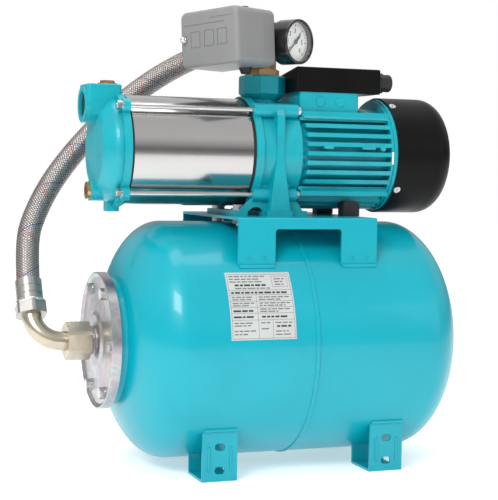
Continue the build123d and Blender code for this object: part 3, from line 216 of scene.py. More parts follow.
@dataclass(frozen=True)
class Finish:
    """A surface finish: colours, gloss and relief of one material.

    Attributes:
        name: material name.
        base: main colour.
        shade: colour of the mottled patches; for the braid, the painted shade of its grooves.
        rough: roughness where clean.
        rough_far: roughness in the mottled patches.
        metal: metallic value.
        grain_scale: size of the fine grain, in cells per metre.
        relief: strength of the grain's relief.
        relief_depth: depth of the grain in metres.
        mottle_scale: size of the mottling.
        specular: level of the plain reflection.
        coat: clear coat weight.
        coat_rough: roughness of the coat.
        scratches: how strongly thin scratches show in the roughness.
        stretch: scale of the pattern along each axis.
    """

    name: str
    base: Colour
    shade: Colour
    rough: float
    rough_far: float
    metal: float = 0.0
    grain_scale: float = 900.0
    relief: float = 0.2
    relief_depth: float = 0.0003
    mottle_scale: float = 18.0
    specular: float = 0.5
    coat: float = 0.0
    coat_rough: float = 0.08
    scratches: float = 0.0
    stretch: Point = (1.0, 1.0, 1.0)

    def start(self) -> Tuple[bpy.types.Material, Wires, bpy.types.Node, bpy.types.Node]:
        """Makes the material with its Principled shader and grain group.

        Returns:
            The material, its wires, the shader and the grain group node.
        """
        material = bpy.data.materials.new(self.name)
        material.use_nodes = True
        wires = Wires(material.node_tree)
        shader = material.node_tree.nodes["Principled BSDF"]
        shader.inputs["Metallic"].default_value = self.metal
        shader.inputs["Specular IOR Level"].default_value = self.specular
        shader.inputs["Coat Weight"].default_value = self.coat
        shader.inputs["Coat Roughness"].default_value = self.coat_rough
        coords = wires.add("ShaderNodeTexCoord")
        mapping = wires.add("ShaderNodeMapping")
        mapping.inputs["Scale"].default_value = self.stretch
        wires.join(coords.outputs["Object"], mapping.inputs["Vector"])
        grain = wires.add("ShaderNodeGroup")
        grain.node_tree = grain_group()
        wires.join(mapping.outputs[0], grain.inputs["Vector"])
        grain.inputs["Grain Scale"].default_value = self.grain_scale
        grain.inputs["Mottle Scale"].default_value = self.mottle_scale
        return material, wires, shader, grain

    def relief_of(self, wires: Wires, shader: bpy.types.Node, height: bpy.types.NodeSocket) -> None:
        """Feeds a height into the shader's normal."""
        bump = wires.add("ShaderNodeBump")
        bump.inputs["Strength"].default_value = self.relief
        bump.inputs["Distance"].default_value = self.relief_depth
        wires.join(height, bump.inputs["Height"])
        wires.join(bump.outputs[0], shader.inputs["Normal"])

    def build(self) -> bpy.types.Material:
        """Builds the material.

        Returns:
            The finished material.
        """
        material, wires, shader, grain = self.start()
        colour = wires.mix(grain.outputs["Mottle"], self.base, self.shade)
        wires.join(colour, shader.inputs["Base Color"])
        rough = wires.spread(grain.outputs["Mottle"], self.rough, self.rough_far)
        if self.scratches:
            worn = wires.value("MULTIPLY", grain.outputs["Scratch"], self.scratches)
            rough = wires.value("ADD", rough, worn)
        wires.join(rough, shader.inputs["Roughness"])
        self.relief_of(wires, shader, grain.outputs["Grain"])
        return material


@dataclass(frozen=True)
class ZincFinish(Finish):
    """Passivated zinc with its rainbow tint."""

    def build(self) -> bpy.types.Material:
        """Builds the material.

        Returns:
            The finished material.
        """
        material, wires, shader, grain = self.start()
        coords = wires.add("ShaderNodeTexCoord")
        swirl = wires.add("ShaderNodeTexNoise")
        swirl.inputs["Scale"].default_value = 22.0
        swirl.inputs["Detail"].default_value = 3.0
        swirl.inputs["Distortion"].default_value = 1.2
        wires.join(coords.outputs["Object"], swirl.inputs["Vector"])
        ramp = wires.add("ShaderNodeValToRGB")
        tints = ((0.30, (0.40, 0.40, 0.45)), (0.42, (0.43, 0.37, 0.42)), (0.50, (0.50, 0.48, 0.47)),
                 (0.58, (0.37, 0.42, 0.43)), (0.70, (0.50, 0.49, 0.51)))
        ramp.color_ramp.elements[0].position = tints[0][0]
        ramp.color_ramp.elements[0].color = (*tints[0][1], 1)
        ramp.color_ramp.elements[1].position = tints[-1][0]
        ramp.color_ramp.elements[1].color = (*tints[-1][1], 1)
        for at, tint in tints[1:-1]:
            stop = ramp.color_ramp.elements.new(at)
            stop.color = (*tint, 1)
        wires.join(swirl.outputs[0], ramp.inputs[0])
        wires.join(ramp.outputs[0], shader.inputs["Base Color"])
        wires.join(wires.spread(grain.outputs["Mottle"], self.rough, self.rough_far),
                   shader.inputs["Roughness"])
        self.relief_of(wires, shader, grain.outputs["Grain"])
        return material


@dataclass(frozen=True)
class GlassFinish(Finish):
    """Clear window glass."""

    def build(self) -> bpy.types.Material:
        """Builds the material.

        Returns:
            The finished material.
        """
        material, wires, shader, grain = self.start()
        shader.inputs["Alpha"].default_value = GLASS_ALPHA
        shader.inputs["Base Color"].default_value = (*self.base, 1.0)
        rough = wires.spread(grain.outputs["Mottle"], self.rough, self.rough_far)
        wires.join(rough, shader.inputs["Roughness"])
        return material


@dataclass(frozen=True)
class BraidFinish(Finish):
    """Steel braid with one red and one blue tracer, laid along the hose's own UV map, with painted shade in
    the grooves between bundles and across each strand.

    Attributes:
        carriers: wire bundles around the hose, one way.
        pitch: length of one turn of a bundle.
    """

    carriers: float = 18.0
    pitch: float = 0.062

    def helix(self, wires: Wires, around: bpy.types.NodeSocket, along: bpy.types.NodeSocket,
              sense: float, count: float) -> bpy.types.NodeSocket:
        """Phase of a helical line family, from 0 to 1.

        Args:
            wires: the material's wires.
            around: position around the hose, 0 to 1.
            along: position along the hose in metres.
            sense: 1 or -1, the way it turns.
            count: lines around the hose.

        Returns:
            The phase socket.
        """
        turn = wires.value("MULTIPLY", along, sense / self.pitch)
        return wires.value("FRACT", wires.value("MULTIPLY", wires.value("ADD", around, turn), count))

    def build(self) -> bpy.types.Material:
        """Builds the material.

        Returns:
            The finished material.
        """
        material, wires, shader, _ = self.start()
        layout = wires.add("ShaderNodeUVMap", uv_map="lay")
        parts = wires.add("ShaderNodeSeparateXYZ")
        wires.join(layout.outputs[0], parts.inputs[0])
        around, along = parts.outputs[0], parts.outputs[1]
        edges, fines, parts_of = [], [], []
        for sense in (1.0, -1.0):
            bundle = self.helix(wires, around, along, sense, self.carriers)
            edges.append(wires.value("PINGPONG", bundle, 0.5))
            strand = self.helix(wires, around, along, sense, self.carriers * 5)
            fines.append(wires.value("MULTIPLY", wires.value("PINGPONG", strand, 0.5), 2.0))
            half = self.helix(wires, around, along, sense, self.carriers / 2)
            parts_of.append(wires.value("GREATER_THAN", half, 0.5))
        groove = wires.spread(wires.value("MINIMUM", edges[0], edges[1]), 0.0, 1.0, 0.02, 0.16)
        parity = wires.value("ABSOLUTE", wires.value("SUBTRACT", parts_of[0], parts_of[1]))
        other = wires.value("MULTIPLY", fines[1], wires.value("SUBTRACT", 1.0, parity))
        fine = wires.value("ADD", wires.value("MULTIPLY", fines[0], parity), other)
        height = wires.value("ADD", groove, wires.value("MULTIPLY", fine, 0.35))
        # Painted shade: the steel colour falls to near black in the grooves between bundles and dims towards
        # each strand's edges.
        shade = wires.value("MULTIPLY", groove, wires.spread(fine, 0.45, 1.0))
        steel = wires.mix(shade, self.shade, self.base)
        for sense, tracer in ((1.0, RED_TRACER), (-1.0, BLUE_TRACER)):
            line = self.helix(wires, around, along, sense, 1.0)
            near = wires.value("COMPARE", line, 0.5)
            near.node.inputs[2].default_value = TRACER_WIDTH
            steel = wires.mix(wires.value("MULTIPLY", near, TRACER_STRENGTH), steel, tracer)
        wires.join(steel, shader.inputs["Base Color"])
        wires.join(wires.spread(shade, self.rough_far, self.rough), shader.inputs["Roughness"])
        self.relief_of(wires, shader, height)
        return material


class Look(Enum):
    """Every finish of the set, keyed by the record's material slots."""

    TEAL = Finish("teal_enamel", (0.0, 0.365, 0.455), (0.0, 0.335, 0.42), 0.30, 0.36, specular=0.3, coat=0.28,
                  coat_rough=0.07, grain_scale=420.0, relief=0.10, relief_depth=0.0004)
    CAST_TEAL = Finish("teal_on_casting", (0.0, 0.375, 0.445), (0.0, 0.315, 0.385), 0.34, 0.42,
                       specular=0.35, coat=0.25, coat_rough=0.12, grain_scale=520.0,
                       relief=0.35, relief_depth=0.0009, mottle_scale=34.0)
    STAINLESS = Finish("polished_stainless", (0.52, 0.51, 0.505), (0.47, 0.46, 0.455), 0.12, 0.19, metal=1.0,
                       grain_scale=700.0, relief=0.05, relief_depth=0.0002, scratches=0.05,
                       stretch=(0.15, 1.0, 1.0))
    ZINC = ZincFinish("rainbow_zinc", (0.6, 0.6, 0.6), (0.5, 0.5, 0.5), 0.30, 0.42, metal=1.0,
                      grain_scale=380.0, relief=0.12, relief_depth=0.0005)
    BRIGHT_ZINC = Finish("bright_zinc", (0.66, 0.66, 0.65), (0.50, 0.50, 0.50), 0.22, 0.38, metal=1.0,
                         scratches=0.1)
    BRASS = Finish("turned_brass", (0.60, 0.42, 0.22), (0.48, 0.31, 0.15), 0.24, 0.40, metal=1.0,
                   mottle_scale=60.0)
    NICKEL = Finish("satin_nickel_brass", (0.58, 0.52, 0.42), (0.46, 0.40, 0.31), 0.24, 0.36, metal=1.0,
                    mottle_scale=45.0)
    FERRULE = Finish("nickel_ferrule", (0.50, 0.485, 0.46), (0.40, 0.385, 0.365), 0.27, 0.38, metal=1.0,
                     mottle_scale=50.0)
    CHROME = Finish("chrome", (0.8, 0.8, 0.8), (0.7, 0.7, 0.7), 0.05, 0.10, metal=1.0)
    BLACK = Finish("black_moulding", (0.004, 0.004, 0.0043), (0.006, 0.006, 0.0065), 0.30, 0.40,
                   specular=0.10, grain_scale=1500.0, relief=0.18)
    RUBBER = Finish("black_rubber", (0.008, 0.008, 0.008), (0.016, 0.016, 0.016), 0.62, 0.75)
    GLOSS_BLACK = Finish("gauge_black", (0.006, 0.006, 0.007), (0.012, 0.012, 0.013), 0.18, 0.28, coat=0.3)
    GREY = Finish("grey_moulding", (0.215, 0.215, 0.218), (0.235, 0.235, 0.238), 0.34, 0.42,
                  grain_scale=1300.0, relief=0.15)
    GREY_METAL = Finish("grey_paint", (0.20, 0.20, 0.203), (0.22, 0.22, 0.223), 0.35, 0.45, coat=0.2)
    WHITE = Finish("dial_enamel", (0.85, 0.85, 0.83), (0.80, 0.80, 0.78), 0.30, 0.36)
    INK = Finish("printing_ink", (0.02, 0.02, 0.022), (0.035, 0.035, 0.04), 0.45, 0.55)
    PALE_INK = Finish("grey_printing_ink", (0.10, 0.10, 0.11), (0.15, 0.15, 0.16), 0.45, 0.55)
    LABEL = Finish("label_film", (0.53, 0.55, 0.54), (0.49, 0.51, 0.50), 0.28, 0.34, coat=0.3)
    GLASS = GlassFinish("window_glass", (0.98, 1.0, 1.0), (1, 1, 1), 0.02, 0.04)
    # The braid's second colour is the painted shade of its grooves.
    BRAID = BraidFinish("steel_braid", (0.56, 0.52, 0.50), (0.035, 0.03, 0.03), 0.28, 0.45, metal=0.95,
                        relief=0.45, relief_depth=0.0005)
    RED_RUBBER = Finish("bladder_rubber", (0.25, 0.05, 0.03), (0.2, 0.04, 0.03), 0.6, 0.7)
    COPPER = Finish("enamelled_copper", (0.55, 0.22, 0.10), (0.42, 0.16, 0.07), 0.3, 0.4, metal=0.9,
                    stretch=(1.0, 6.0, 1.0))
    DARK_STEEL = Finish("lamination_steel", (0.16, 0.16, 0.17), (0.12, 0.12, 0.13), 0.4, 0.5, metal=0.9,
                        stretch=(12.0, 1.0, 1.0))
    GROUND_STEEL = Finish("ground_steel", (0.55, 0.55, 0.56), (0.48, 0.48, 0.5), 0.2, 0.3, metal=1.0)
    CERAMIC = Finish("ceramic", (0.8, 0.8, 0.76), (0.74, 0.74, 0.7), 0.2, 0.3)
    DARK_PLASTIC = Finish("dark_moulding", (0.03, 0.03, 0.032), (0.04, 0.04, 0.042), 0.4, 0.5)
    # Painted shade: near-black teal for the shade inside the open suction port and on its thread.
    DARK_BORE = Finish("shaded_casting", (0.004, 0.025, 0.03), (0.006, 0.035, 0.04), 0.5, 0.65)
    CAN = Finish("capacitor_can", (0.6, 0.6, 0.58), (0.55, 0.55, 0.53), 0.35, 0.42)


SLOT_LOOK: Dict[str, Look] = {
    "teal_paint": Look.TEAL, "stainless": Look.STAINLESS, "zinc_plate": Look.ZINC,
    "zinc_steel": Look.BRIGHT_ZINC, "brass": Look.BRASS, "nickel_brass": Look.NICKEL,
    "ferrule_nickel": Look.FERRULE, "chrome": Look.CHROME, "black_plastic": Look.BLACK,
    "black_rubber": Look.RUBBER, "gauge_black": Look.GLOSS_BLACK, "switch_grey": Look.GREY,
    "switch_metal": Look.GREY_METAL, "dial_white": Look.WHITE, "needle_black": Look.INK,
    "label_film": Look.LABEL, "glass": Look.GLASS, "steel_braid": Look.BRAID,
    "rubber_red": Look.RED_RUBBER, "copper_wire": Look.COPPER, "lamination": Look.DARK_STEEL,
    "bearing_steel": Look.GROUND_STEEL, "seal_steel": Look.GROUND_STEEL,
    "rotor_alloy": Look.DARK_STEEL, "ceramic": Look.CERAMIC, "stage_plastic": Look.DARK_PLASTIC,
    "fan_plastic": Look.DARK_PLASTIC, "capacitor_can": Look.CAN,
}
CASTINGS = ("suction_cover", "lantern", "motor_front_shield", "motor_housing", "motor_rear_shield",
            "terminal_box_base")


class Paintbox:
    """Builds each finish once and hands it out."""

    def __init__(self) -> None:
        """Starts with no material made."""
        self.made: Dict[Look, bpy.types.Material] = {}

    def get(self, look: Look) -> bpy.types.Material:
        """The material of a look, made on first use."""
        if look not in self.made:
            self.made[look] = look.value.build()
        return self.made[look]

    def dress(self, piece: bpy.types.Object, look: Look) -> None:
        """Gives a piece one material."""
        piece.data.materials.clear()
        piece.data.materials.append(self.get(look))


# ---------------------------------------------------------------- modelling tools


class Bench:
    """Modelling steps that several sub-assemblies share."""

    @staticmethod
    def clear() -> None:
        """Deselects everything."""
        if bpy.context.object and bpy.context.object.mode != "OBJECT":
            bpy.ops.object.mode_set(mode="OBJECT")
        bpy.ops.object.select_all(action="DESELECT")

    @staticmethod
    def only(piece: bpy.types.Object) -> None:
        """Selects one object and makes it active."""
        Bench.clear()
        piece.select_set(True)
        bpy.context.view_layer.objects.active = piece

    @staticmethod
    def apply(piece: bpy.types.Object, kind: str, **settings: object) -> None:
        """Adds a modifier with settings and applies it.

        Args:
            piece: the object.
            kind: the modifier type.
            **settings: attributes of the modifier.
        """
        Bench.only(piece)
        modifier = piece.modifiers.new(kind.lower(), kind)
        for name, value in settings.items():
            setattr(modifier, name, value)
        bpy.ops.object.modifier_apply(modifier=modifier.name)

    @staticmethod
    def settle(piece: bpy.types.Object, name: str) -> bpy.types.Object:
        """Names a piece and puts its place into its mesh.

        Args:
            piece: the object.
            name: its name.

        Returns:
            The same object, at the origin.
        """
        Bench.only(piece)
        bpy.ops.object.transform_apply(location=True, rotation=True, scale=True)
        piece.name = name
        piece.data.name = name
        return piece

    @staticmethod
    def join(pieces: Sequence[bpy.types.Object], name: str) -> bpy.types.Object:
        """Joins objects into one piece.

        Args:
            pieces: the objects.
            name: name of the result.

        Returns:
            The joined object.
        """
        Bench.clear()
        for piece in pieces:
            piece.select_set(True)
        bpy.context.view_layer.objects.active = pieces[0]
        bpy.ops.object.join()
        return Bench.settle(bpy.context.object, name)

    @staticmethod
    def smooth(piece: bpy.types.Object, degrees: float = 35.0) -> None:
        """Smooth shading with creases past an angle."""
        Bench.only(piece)
        bpy.ops.object.shade_smooth_by_angle(angle=math.radians(degrees))

    @staticmethod
    def bar(size: Point, centre: Vector, bevel: float = 0.0) -> bpy.types.Object:
        """A block with rounded edges.

        Args:
            size: edge lengths.
            centre: its middle.
            bevel: edge radius, 0 for none.

        Returns:
            The object.
        """
        Bench.clear()
        bpy.ops.mesh.primitive_cube_add(size=1.0, location=centre)
        piece = bpy.context.object
        piece.scale = size
        bpy.ops.object.transform_apply(location=False, rotation=False, scale=True)
        if bevel:
            bpy.ops.object.mode_set(mode="EDIT")
            bpy.ops.mesh.select_all(action="SELECT")
            bpy.ops.mesh.bevel(offset=bevel, segments=2)
            bpy.ops.object.mode_set(mode="OBJECT")
        return piece

    @staticmethod
    def thread(radius: float, depth: float, pitch: float, turns: int, outside: bool) -> bpy.types.Object:
        """A helical thread ridge along +X from the origin.

        Args:
            radius: radius of the ridge's root.
            depth: height of the ridge.
            pitch: distance between turns.
            turns: number of turns.
            outside: True for a male thread.

        Returns:
            The thread, a thin open helicoid with a triangular section.
        """
        Bench.clear()
        bpy.ops.mesh.primitive_circle_add(vertices=3, radius=pitch * 0.48, fill_type="NOTHING")
        piece = bpy.context.object
        mesh = piece.data
        peak = radius + depth if outside else radius - depth
        corners = ((0.0, radius), (pitch * 0.42, peak), (pitch * 0.84, radius))
        for vertex, (along, out) in zip(mesh.vertices, corners):
            vertex.co = (along, 0.0, out)
        Bench.apply(piece, "SCREW", axis="X", screw_offset=pitch * turns, angle=2 * math.pi * turns,
                    steps=48 * turns, render_steps=48 * turns, use_merge_vertices=False)
        return piece


# ---------------------------------------------------------------- sub-assemblies


@dataclass
class Assembly:
    """Base of every sub-assembly.

    Attributes:
        paint: the finishes.
        nodes: the frame's nodes.
    """

    paint: Paintbox
    nodes: Dict[str, bpy.types.Object]

    def keep(self, piece: bpy.types.Object, look: Look, slot: str, body: str = STATIC) -> bpy.types.Object:
        """Dresses a new piece and fixes it to a body.

        Args:
            piece: the object.
            look: its finish.
            slot: the record's material slot it belongs to; not used.
            body: the body that it moves with.

        Returns:
            The same object.
        """
        self.paint.dress(piece, look)
        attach(piece, body)
        LOG.info("piece %s on %s", piece.name, body)
        return piece


@dataclass
class Frame(Assembly):
    """The design model's own nodes, dressed by slot."""

    record: dict = field(default_factory=dict)

    def dress(self) -> None:
        """Gives every node the finish of its slot."""
        slots = {row["node"]: row["material_slot"] for row in self.record["subparts"]}
        for name, node in self.nodes.items():
            look = Look.CAST_TEAL if name in CASTINGS else SLOT_LOOK[slots[name]]
            self.paint.dress(node, look)
        LOG.info("dressed %d nodes", len(self.nodes))


@dataclass
class BraidedHose(Assembly):
    """The braided hose between the tank elbow and the five-way fitting."""

    radius: float = 0.01375
    sides: int = 132
    resolution: int = 62
    relief: float = 0.00035
    carriers: int = 18
    pitch: float = 0.062
    route: Sequence[Point] = (
        (-296, 38.25, 218.3),
        (-294, 64, 262),
        (-281, 81, 296),
        (-257, 93, 337),
        (-222, 101, 380),
        (-176, 107, 426),
        (-142, 108.5, 453),
        (-116, 107, 471),
        (-91, 99, 486),
        (-68, 81, 497.5),
        (-51.3, 52.6, 503),
    )

    def centre_line(self) -> List[Vector]:
        """Points along the hose's smooth centre line.

        Returns:
            The points, read from its NURBS spline.
        """
        curve = bpy.data.curves.new("hose_line", "CURVE")
        curve.dimensions = "3D"
        curve.resolution_u = self.resolution
        spline = curve.splines.new("NURBS")
        spline.points.add(len(self.route) - 1)
        for point, corner in zip(spline.points, self.route):
            point.co = (*place(*corner), 1.0)
        spline.order_u = 3
        spline.use_endpoint_u = True
        holder = bpy.data.objects.new("hose_line", curve)
        bpy.context.scene.collection.objects.link(holder)
        bpy.context.view_layer.update()
        mesh = bpy.data.meshes.new_from_object(holder)
        points = [vertex.co.copy() for vertex in mesh.vertices]
        bpy.data.objects.remove(holder)
        bpy.data.curves.remove(curve)
        bpy.data.meshes.remove(mesh)
        return points

    def bulge(self, angle: float, along: float) -> float:
        """Height of the braid over the hose's mean radius.

        Args:
            angle: position around the hose, 0 to 1.
            along: distance along the hose.

        Returns:
            The height in metres.
        """
        phases = (self.carriers * (angle + along / self.pitch), self.carriers * (angle - along / self.pitch))
        edge = min(0.5 - abs(phase % 1.0 - 0.5) for phase in phases)
        return self.relief * min(1.0, edge / 0.22)

    def build(self) -> None:
        points = self.centre_line()
        shape = bmesh.new()
        layer = shape.loops.layers.uv.new("lay")
        tangent = (points[1] - points[0]).normalized()
        across = tangent.orthogonal().normalized()
        rings = []
        stations = []
        travelled = 0.0
        for index, point in enumerate(points):
            ahead = points[min(index + 1, len(points) - 1)]
            behind = points[max(index - 1, 0)]
            tangent = (ahead - behind).normalized()
            across = (across - tangent * across.dot(tangent)).normalized()
            side = tangent.cross(across)
            if index:
                travelled += (point - points[index - 1]).length
            ring = []
            for step in range(self.sides):
                part = step / self.sides
                turn = 2 * math.pi * part
                reach = self.radius - self.relief + self.bulge(part, travelled)
                spoke = across * math.cos(turn) + side * math.sin(turn)
                ring.append(shape.verts.new(point + spoke * reach))
            rings.append(ring)
            stations.append(travelled)
        for index in range(len(rings) - 1):
            for step in range(self.sides):
                after = (step + 1) % self.sides
                face = shape.faces.new((rings[index][step], rings[index][after],
                                        rings[index + 1][after], rings[index + 1][step]))
                face.smooth = True
                spots = ((step, index), (step + 1, index), (step + 1, index + 1), (step, index + 1))
                for loop, (spot, row) in zip(face.loops, spots):
                    loop[layer].uv = (spot / self.sides, stations[row])
        for ring, turned in ((rings[0], True), (rings[-1], False)):
            shape.faces.new(list(reversed(ring)) if turned else ring)
        mesh = bpy.data.meshes.new("braided_hose")
        shape.to_mesh(mesh)
        shape.free()
        tube = bpy.data.objects.new("braided_hose", mesh)
        bpy.context.scene.collection.objects.link(tube)
        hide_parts("hose")
        self.keep(tube, Look.BRAID, "steel_braid")


@dataclass
class GaugeFace(Assembly):
    """Markings, bezel and needle of the pressure gauge."""

    azimuth: float = -60.4
    axis_x: float = -21.4
    height: float = 505.5
    dial: float = 49.3
    face: float = 56.5
    rim: float = 26.5
    rest: float = 225.0
    sweep: float = 270.0
    top_value: int = 6

    def matrix(self, distance: float) -> Matrix:
        """Frame on the dial: local X right, local Y up, local Z towards the reader.

        Args:
            distance: from the fitting's axis, in millimetres.

        Returns:
            The frame's matrix, in metres.
        """
        turn = math.radians(self.azimuth)
        out = Vector((math.cos(turn), math.sin(turn), 0))
        right = Vector((-math.sin(turn), math.cos(turn), 0))
        spot = place(self.axis_x, 0, self.height) + out * distance * MM
        return Matrix.Translation(spot) @ Matrix((right, Vector((0, 0, 1)), out)).transposed().to_4x4()

    def angle_of(self, part: float) -> float:
        """Angle of a scale mark, from the right-hand side, for a part of full scale."""
        return math.radians(self.rest - part * self.sweep)

    def marks(self) -> None:
        """Scale lines and numbers on the dial."""
        pieces = []
        steps = self.top_value * 5
        for step in range(steps + 1):
            long = step % 5 == 0
            reach = 4.2 if long else 2.4
            width = 1.0 if long else 0.5
            middle = Vector(((21.6 - reach / 2) * MM, 0, 0))
            piece = Bench.bar((reach * MM, width * MM, 0.08 * MM), middle, 0.02 * MM)
            Bench.only(piece)
            piece.data.transform(Matrix.Translation(piece.location))
            piece.location = (0, 0, 0)
            piece.data.transform(Matrix.Rotation(self.angle_of(step / steps), 4, "Z"))
            piece.data.transform(self.matrix(self.dial + 0.06))
            pieces.append(piece)
        for value in range(self.top_value + 1):
            turn = self.angle_of(value / self.top_value)
            Bench.clear()
            bpy.ops.object.text_add()
            text = bpy.context.object
            text.data.body = str(value)
            text.data.size = 7.4 * MM
            text.data.offset = 0.14 * MM
            text.data.extrude = 0.04 * MM
            text.data.align_x = "CENTER"
            text.data.align_y = "CENTER"
            bpy.ops.object.convert(target="MESH")
            spot = Matrix.Translation((13.0 * MM * math.cos(turn), 13.0 * MM * math.sin(turn), 0))
            text.data.transform(self.matrix(self.dial + 0.06) @ spot)
            pieces.append(text)
        marks = Bench.join(pieces, "gauge_marks")
        self.keep(marks, Look.INK, "needle_black")

    def bezel(self) -> None:
        """Rounded snap ring around the window."""
        Bench.clear()
        bpy.ops.mesh.primitive_torus_add(major_radius=(self.rim - 1.2) * MM, minor_radius=1.25 * MM,
                                         major_segments=96, minor_segments=20)
        ring = bpy.context.object
        bpy.ops.object.mode_set(mode="EDIT")
        bpy.ops.mesh.select_all(action="SELECT")
        bpy.ops.mesh.bisect(plane_co=(0, 0, -0.9 * MM), plane_no=(0, 0, 1), clear_inner=True, use_fill=True)
        bpy.ops.object.mode_set(mode="OBJECT")
        ring.data.transform(self.matrix(self.face - 0.6))
        Bench.smooth(Bench.settle(ring, "gauge_bezel"))
        self.keep(ring, Look.GLOSS_BLACK, "gauge_black")

    def needle(self) -> None:
        """Tapered pointer with a counterweight, on the needle's body."""
        Bench.clear()
        bpy.ops.mesh.primitive_cylinder_add(vertices=40, radius=2.7 * MM, depth=1.2 * MM,
                                            location=(0, 0, 0.1 * MM))
        hub = bpy.context.object
        bpy.ops.object.mode_set(mode="EDIT")
        bpy.ops.mesh.select_all(action="SELECT")
        bpy.ops.mesh.bevel(offset=0.3 * MM, segments=3)
        bpy.ops.object.mode_set(mode="OBJECT")
        arm = Bench.bar((19.0 * MM, 2.0 * MM, 0.35 * MM), Vector((9.5 * MM, 0, 0)), 0.05 * MM)
        tail = Bench.bar((9.5 * MM, 3.4 * MM, 0.35 * MM), Vector((-5.4 * MM, 0, 0)), 0.05 * MM)
        for vertex in arm.data.vertices:
            if vertex.co.x > 0:
                vertex.co.y *= 0.32
        pointer = Bench.join([hub, arm, tail], "gauge_pointer")
        turn = Matrix.Rotation(math.radians(self.rest), 4, "Z")
        pointer.data.transform(self.matrix(self.dial + 1.3) @ turn)
        Bench.smooth(pointer)
        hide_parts("gauge_needle")
        self.keep(pointer, Look.INK, "needle_black", NEEDLE)

    def build(self) -> None:
        """Builds the gauge's pieces."""
        self.marks()
        self.bezel()
        self.needle()


@dataclass
class TankLabel(Assembly):
    """Generic print on the tank's label: a heading bar, ruled rows and short entries."""

    left: float = -104.5
    right: float = -27.0
    low: float = 165.5
    high: float = 238.0

    def patch(self, x0: float, x1: float, z0: float, z1: float) -> bpy.types.Object:
        """A flat patch in front of the label.

        Args:
            x0: left edge, as a part of the label's width.
            x1: right edge, likewise.
            z0: lower edge, as a part of its height.
            z1: upper edge, likewise.

        Returns:
            The patch, subdivided to follow the tank.
        """
        width = self.right - self.left
        height = self.high - self.low
        Bench.clear()
        rows = max(1, int((z1 - z0) * height / 3))
        spot = place(self.left + (x0 + x1) / 2 * width, -TANK_R - 15, self.low + (z0 + z1) / 2 * height)
        bpy.ops.mesh.primitive_grid_add(x_subdivisions=2, y_subdivisions=rows + 1, size=1.0, location=spot,
                                        rotation=(math.pi / 2, 0, 0))
        piece = bpy.context.object
        piece.scale = ((x1 - x0) * width * MM, (z1 - z0) * height * MM, 1)
        bpy.ops.object.transform_apply(location=True, rotation=True, scale=True)
        return piece

    def wrap(self, pieces: List[bpy.types.Object], name: str, look: Look, lift: float) -> None:
        """Joins patches and lays them on the label.

        Args:
            pieces: the flat patches.
            name: name of the piece.
            look: its finish.
            lift: height over the label.
        """
        sheet = Bench.join(pieces, name)
        Bench.apply(sheet, "SHRINKWRAP", target=self.nodes["tank_label"], wrap_method="PROJECT",
                    use_project_y=True, use_negative_direction=True, use_positive_direction=True,
                    offset=lift, wrap_mode="ABOVE_SURFACE")
        Bench.apply(sheet, "SOLIDIFY", thickness=0.05 * MM, offset=1.0)
        self.keep(sheet, look, "label_film")

    def words(self, chance: random.Random, x0: float, x1: float, z: float,
              tall: float) -> List[bpy.types.Object]:
        """One line of unreadable short words.

        Args:
            chance: the seeded source of word lengths.
            x0: start of the line, as a part of the label's width.
            x1: end of the line.
            z: lower edge of the line.
            tall: its height.

        Returns:
            The words' patches.
        """
        found = []
        spot = x0
        while spot < x1 - 0.02:
            reach = min(chance.uniform(0.035, 0.12), x1 - spot)
            found.append(self.patch(spot, spot + reach, z, z + tall))
            spot += reach + 0.018
        return found

    def build(self) -> None:
        """Prints the label."""
        rules = [self.patch(0.02, 0.98, z, z + 0.005) for z in LABEL_RULES]
        rules += [self.patch(x, x + 0.005, z0, z1) for x, z0, z1 in
                  ((0.02, 0.02, 0.975), (0.975, 0.02, 0.975), (0.42, 0.02, 0.675), (0.64, 0.02, 0.30),
                   (0.70, 0.79, 0.95), (0.94, 0.79, 0.95))]
        rules += [self.patch(0.70, 0.945, z, z + 0.005) for z in (0.79, 0.945)]
        self.wrap(rules, "label_rules", Look.PALE_INK, 0.05 * MM)
        chance = random.Random(7)
        heavy = []
        for x0, x1, z in ((0.12, 0.62, 0.805), (0.05, 0.94, 0.695), (0.05, 0.36, 0.425), (0.05, 0.38, 0.335),
                          (0.48, 0.90, 0.335), (0.70, 0.92, 0.19)):
            heavy += self.words(chance, x0, x1, z, 0.027)
        self.wrap(heavy, "label_headings", Look.INK, 0.06 * MM)
        light = []
        for x0, x1, z in ((0.05, 0.60, 0.94), (0.05, 0.52, 0.90), (0.05, 0.56, 0.86), (0.12, 0.66, 0.765),
                          (0.05, 0.38, 0.635), (0.05, 0.34, 0.60), (0.46, 0.94, 0.635), (0.46, 0.80, 0.60),
                          (0.05, 0.38, 0.545), (0.05, 0.30, 0.51), (0.46, 0.94, 0.545), (0.46, 0.86, 0.51),
                          (0.46, 0.92, 0.455), (0.46, 0.74, 0.42), (0.05, 0.36, 0.25), (0.05, 0.30, 0.21),
                          (0.05, 0.38, 0.13), (0.05, 0.26, 0.08), (0.46, 0.60, 0.25), (0.46, 0.60, 0.16),
                          (0.68, 0.94, 0.25), (0.68, 0.88, 0.12), (0.68, 0.94, 0.07), (0.74, 0.90, 0.90),
                          (0.74, 0.90, 0.86), (0.74, 0.88, 0.82)):
            light += self.words(chance, x0, x1, z, 0.016)
        self.wrap(light, "label_lines", Look.PALE_INK, 0.06 * MM)


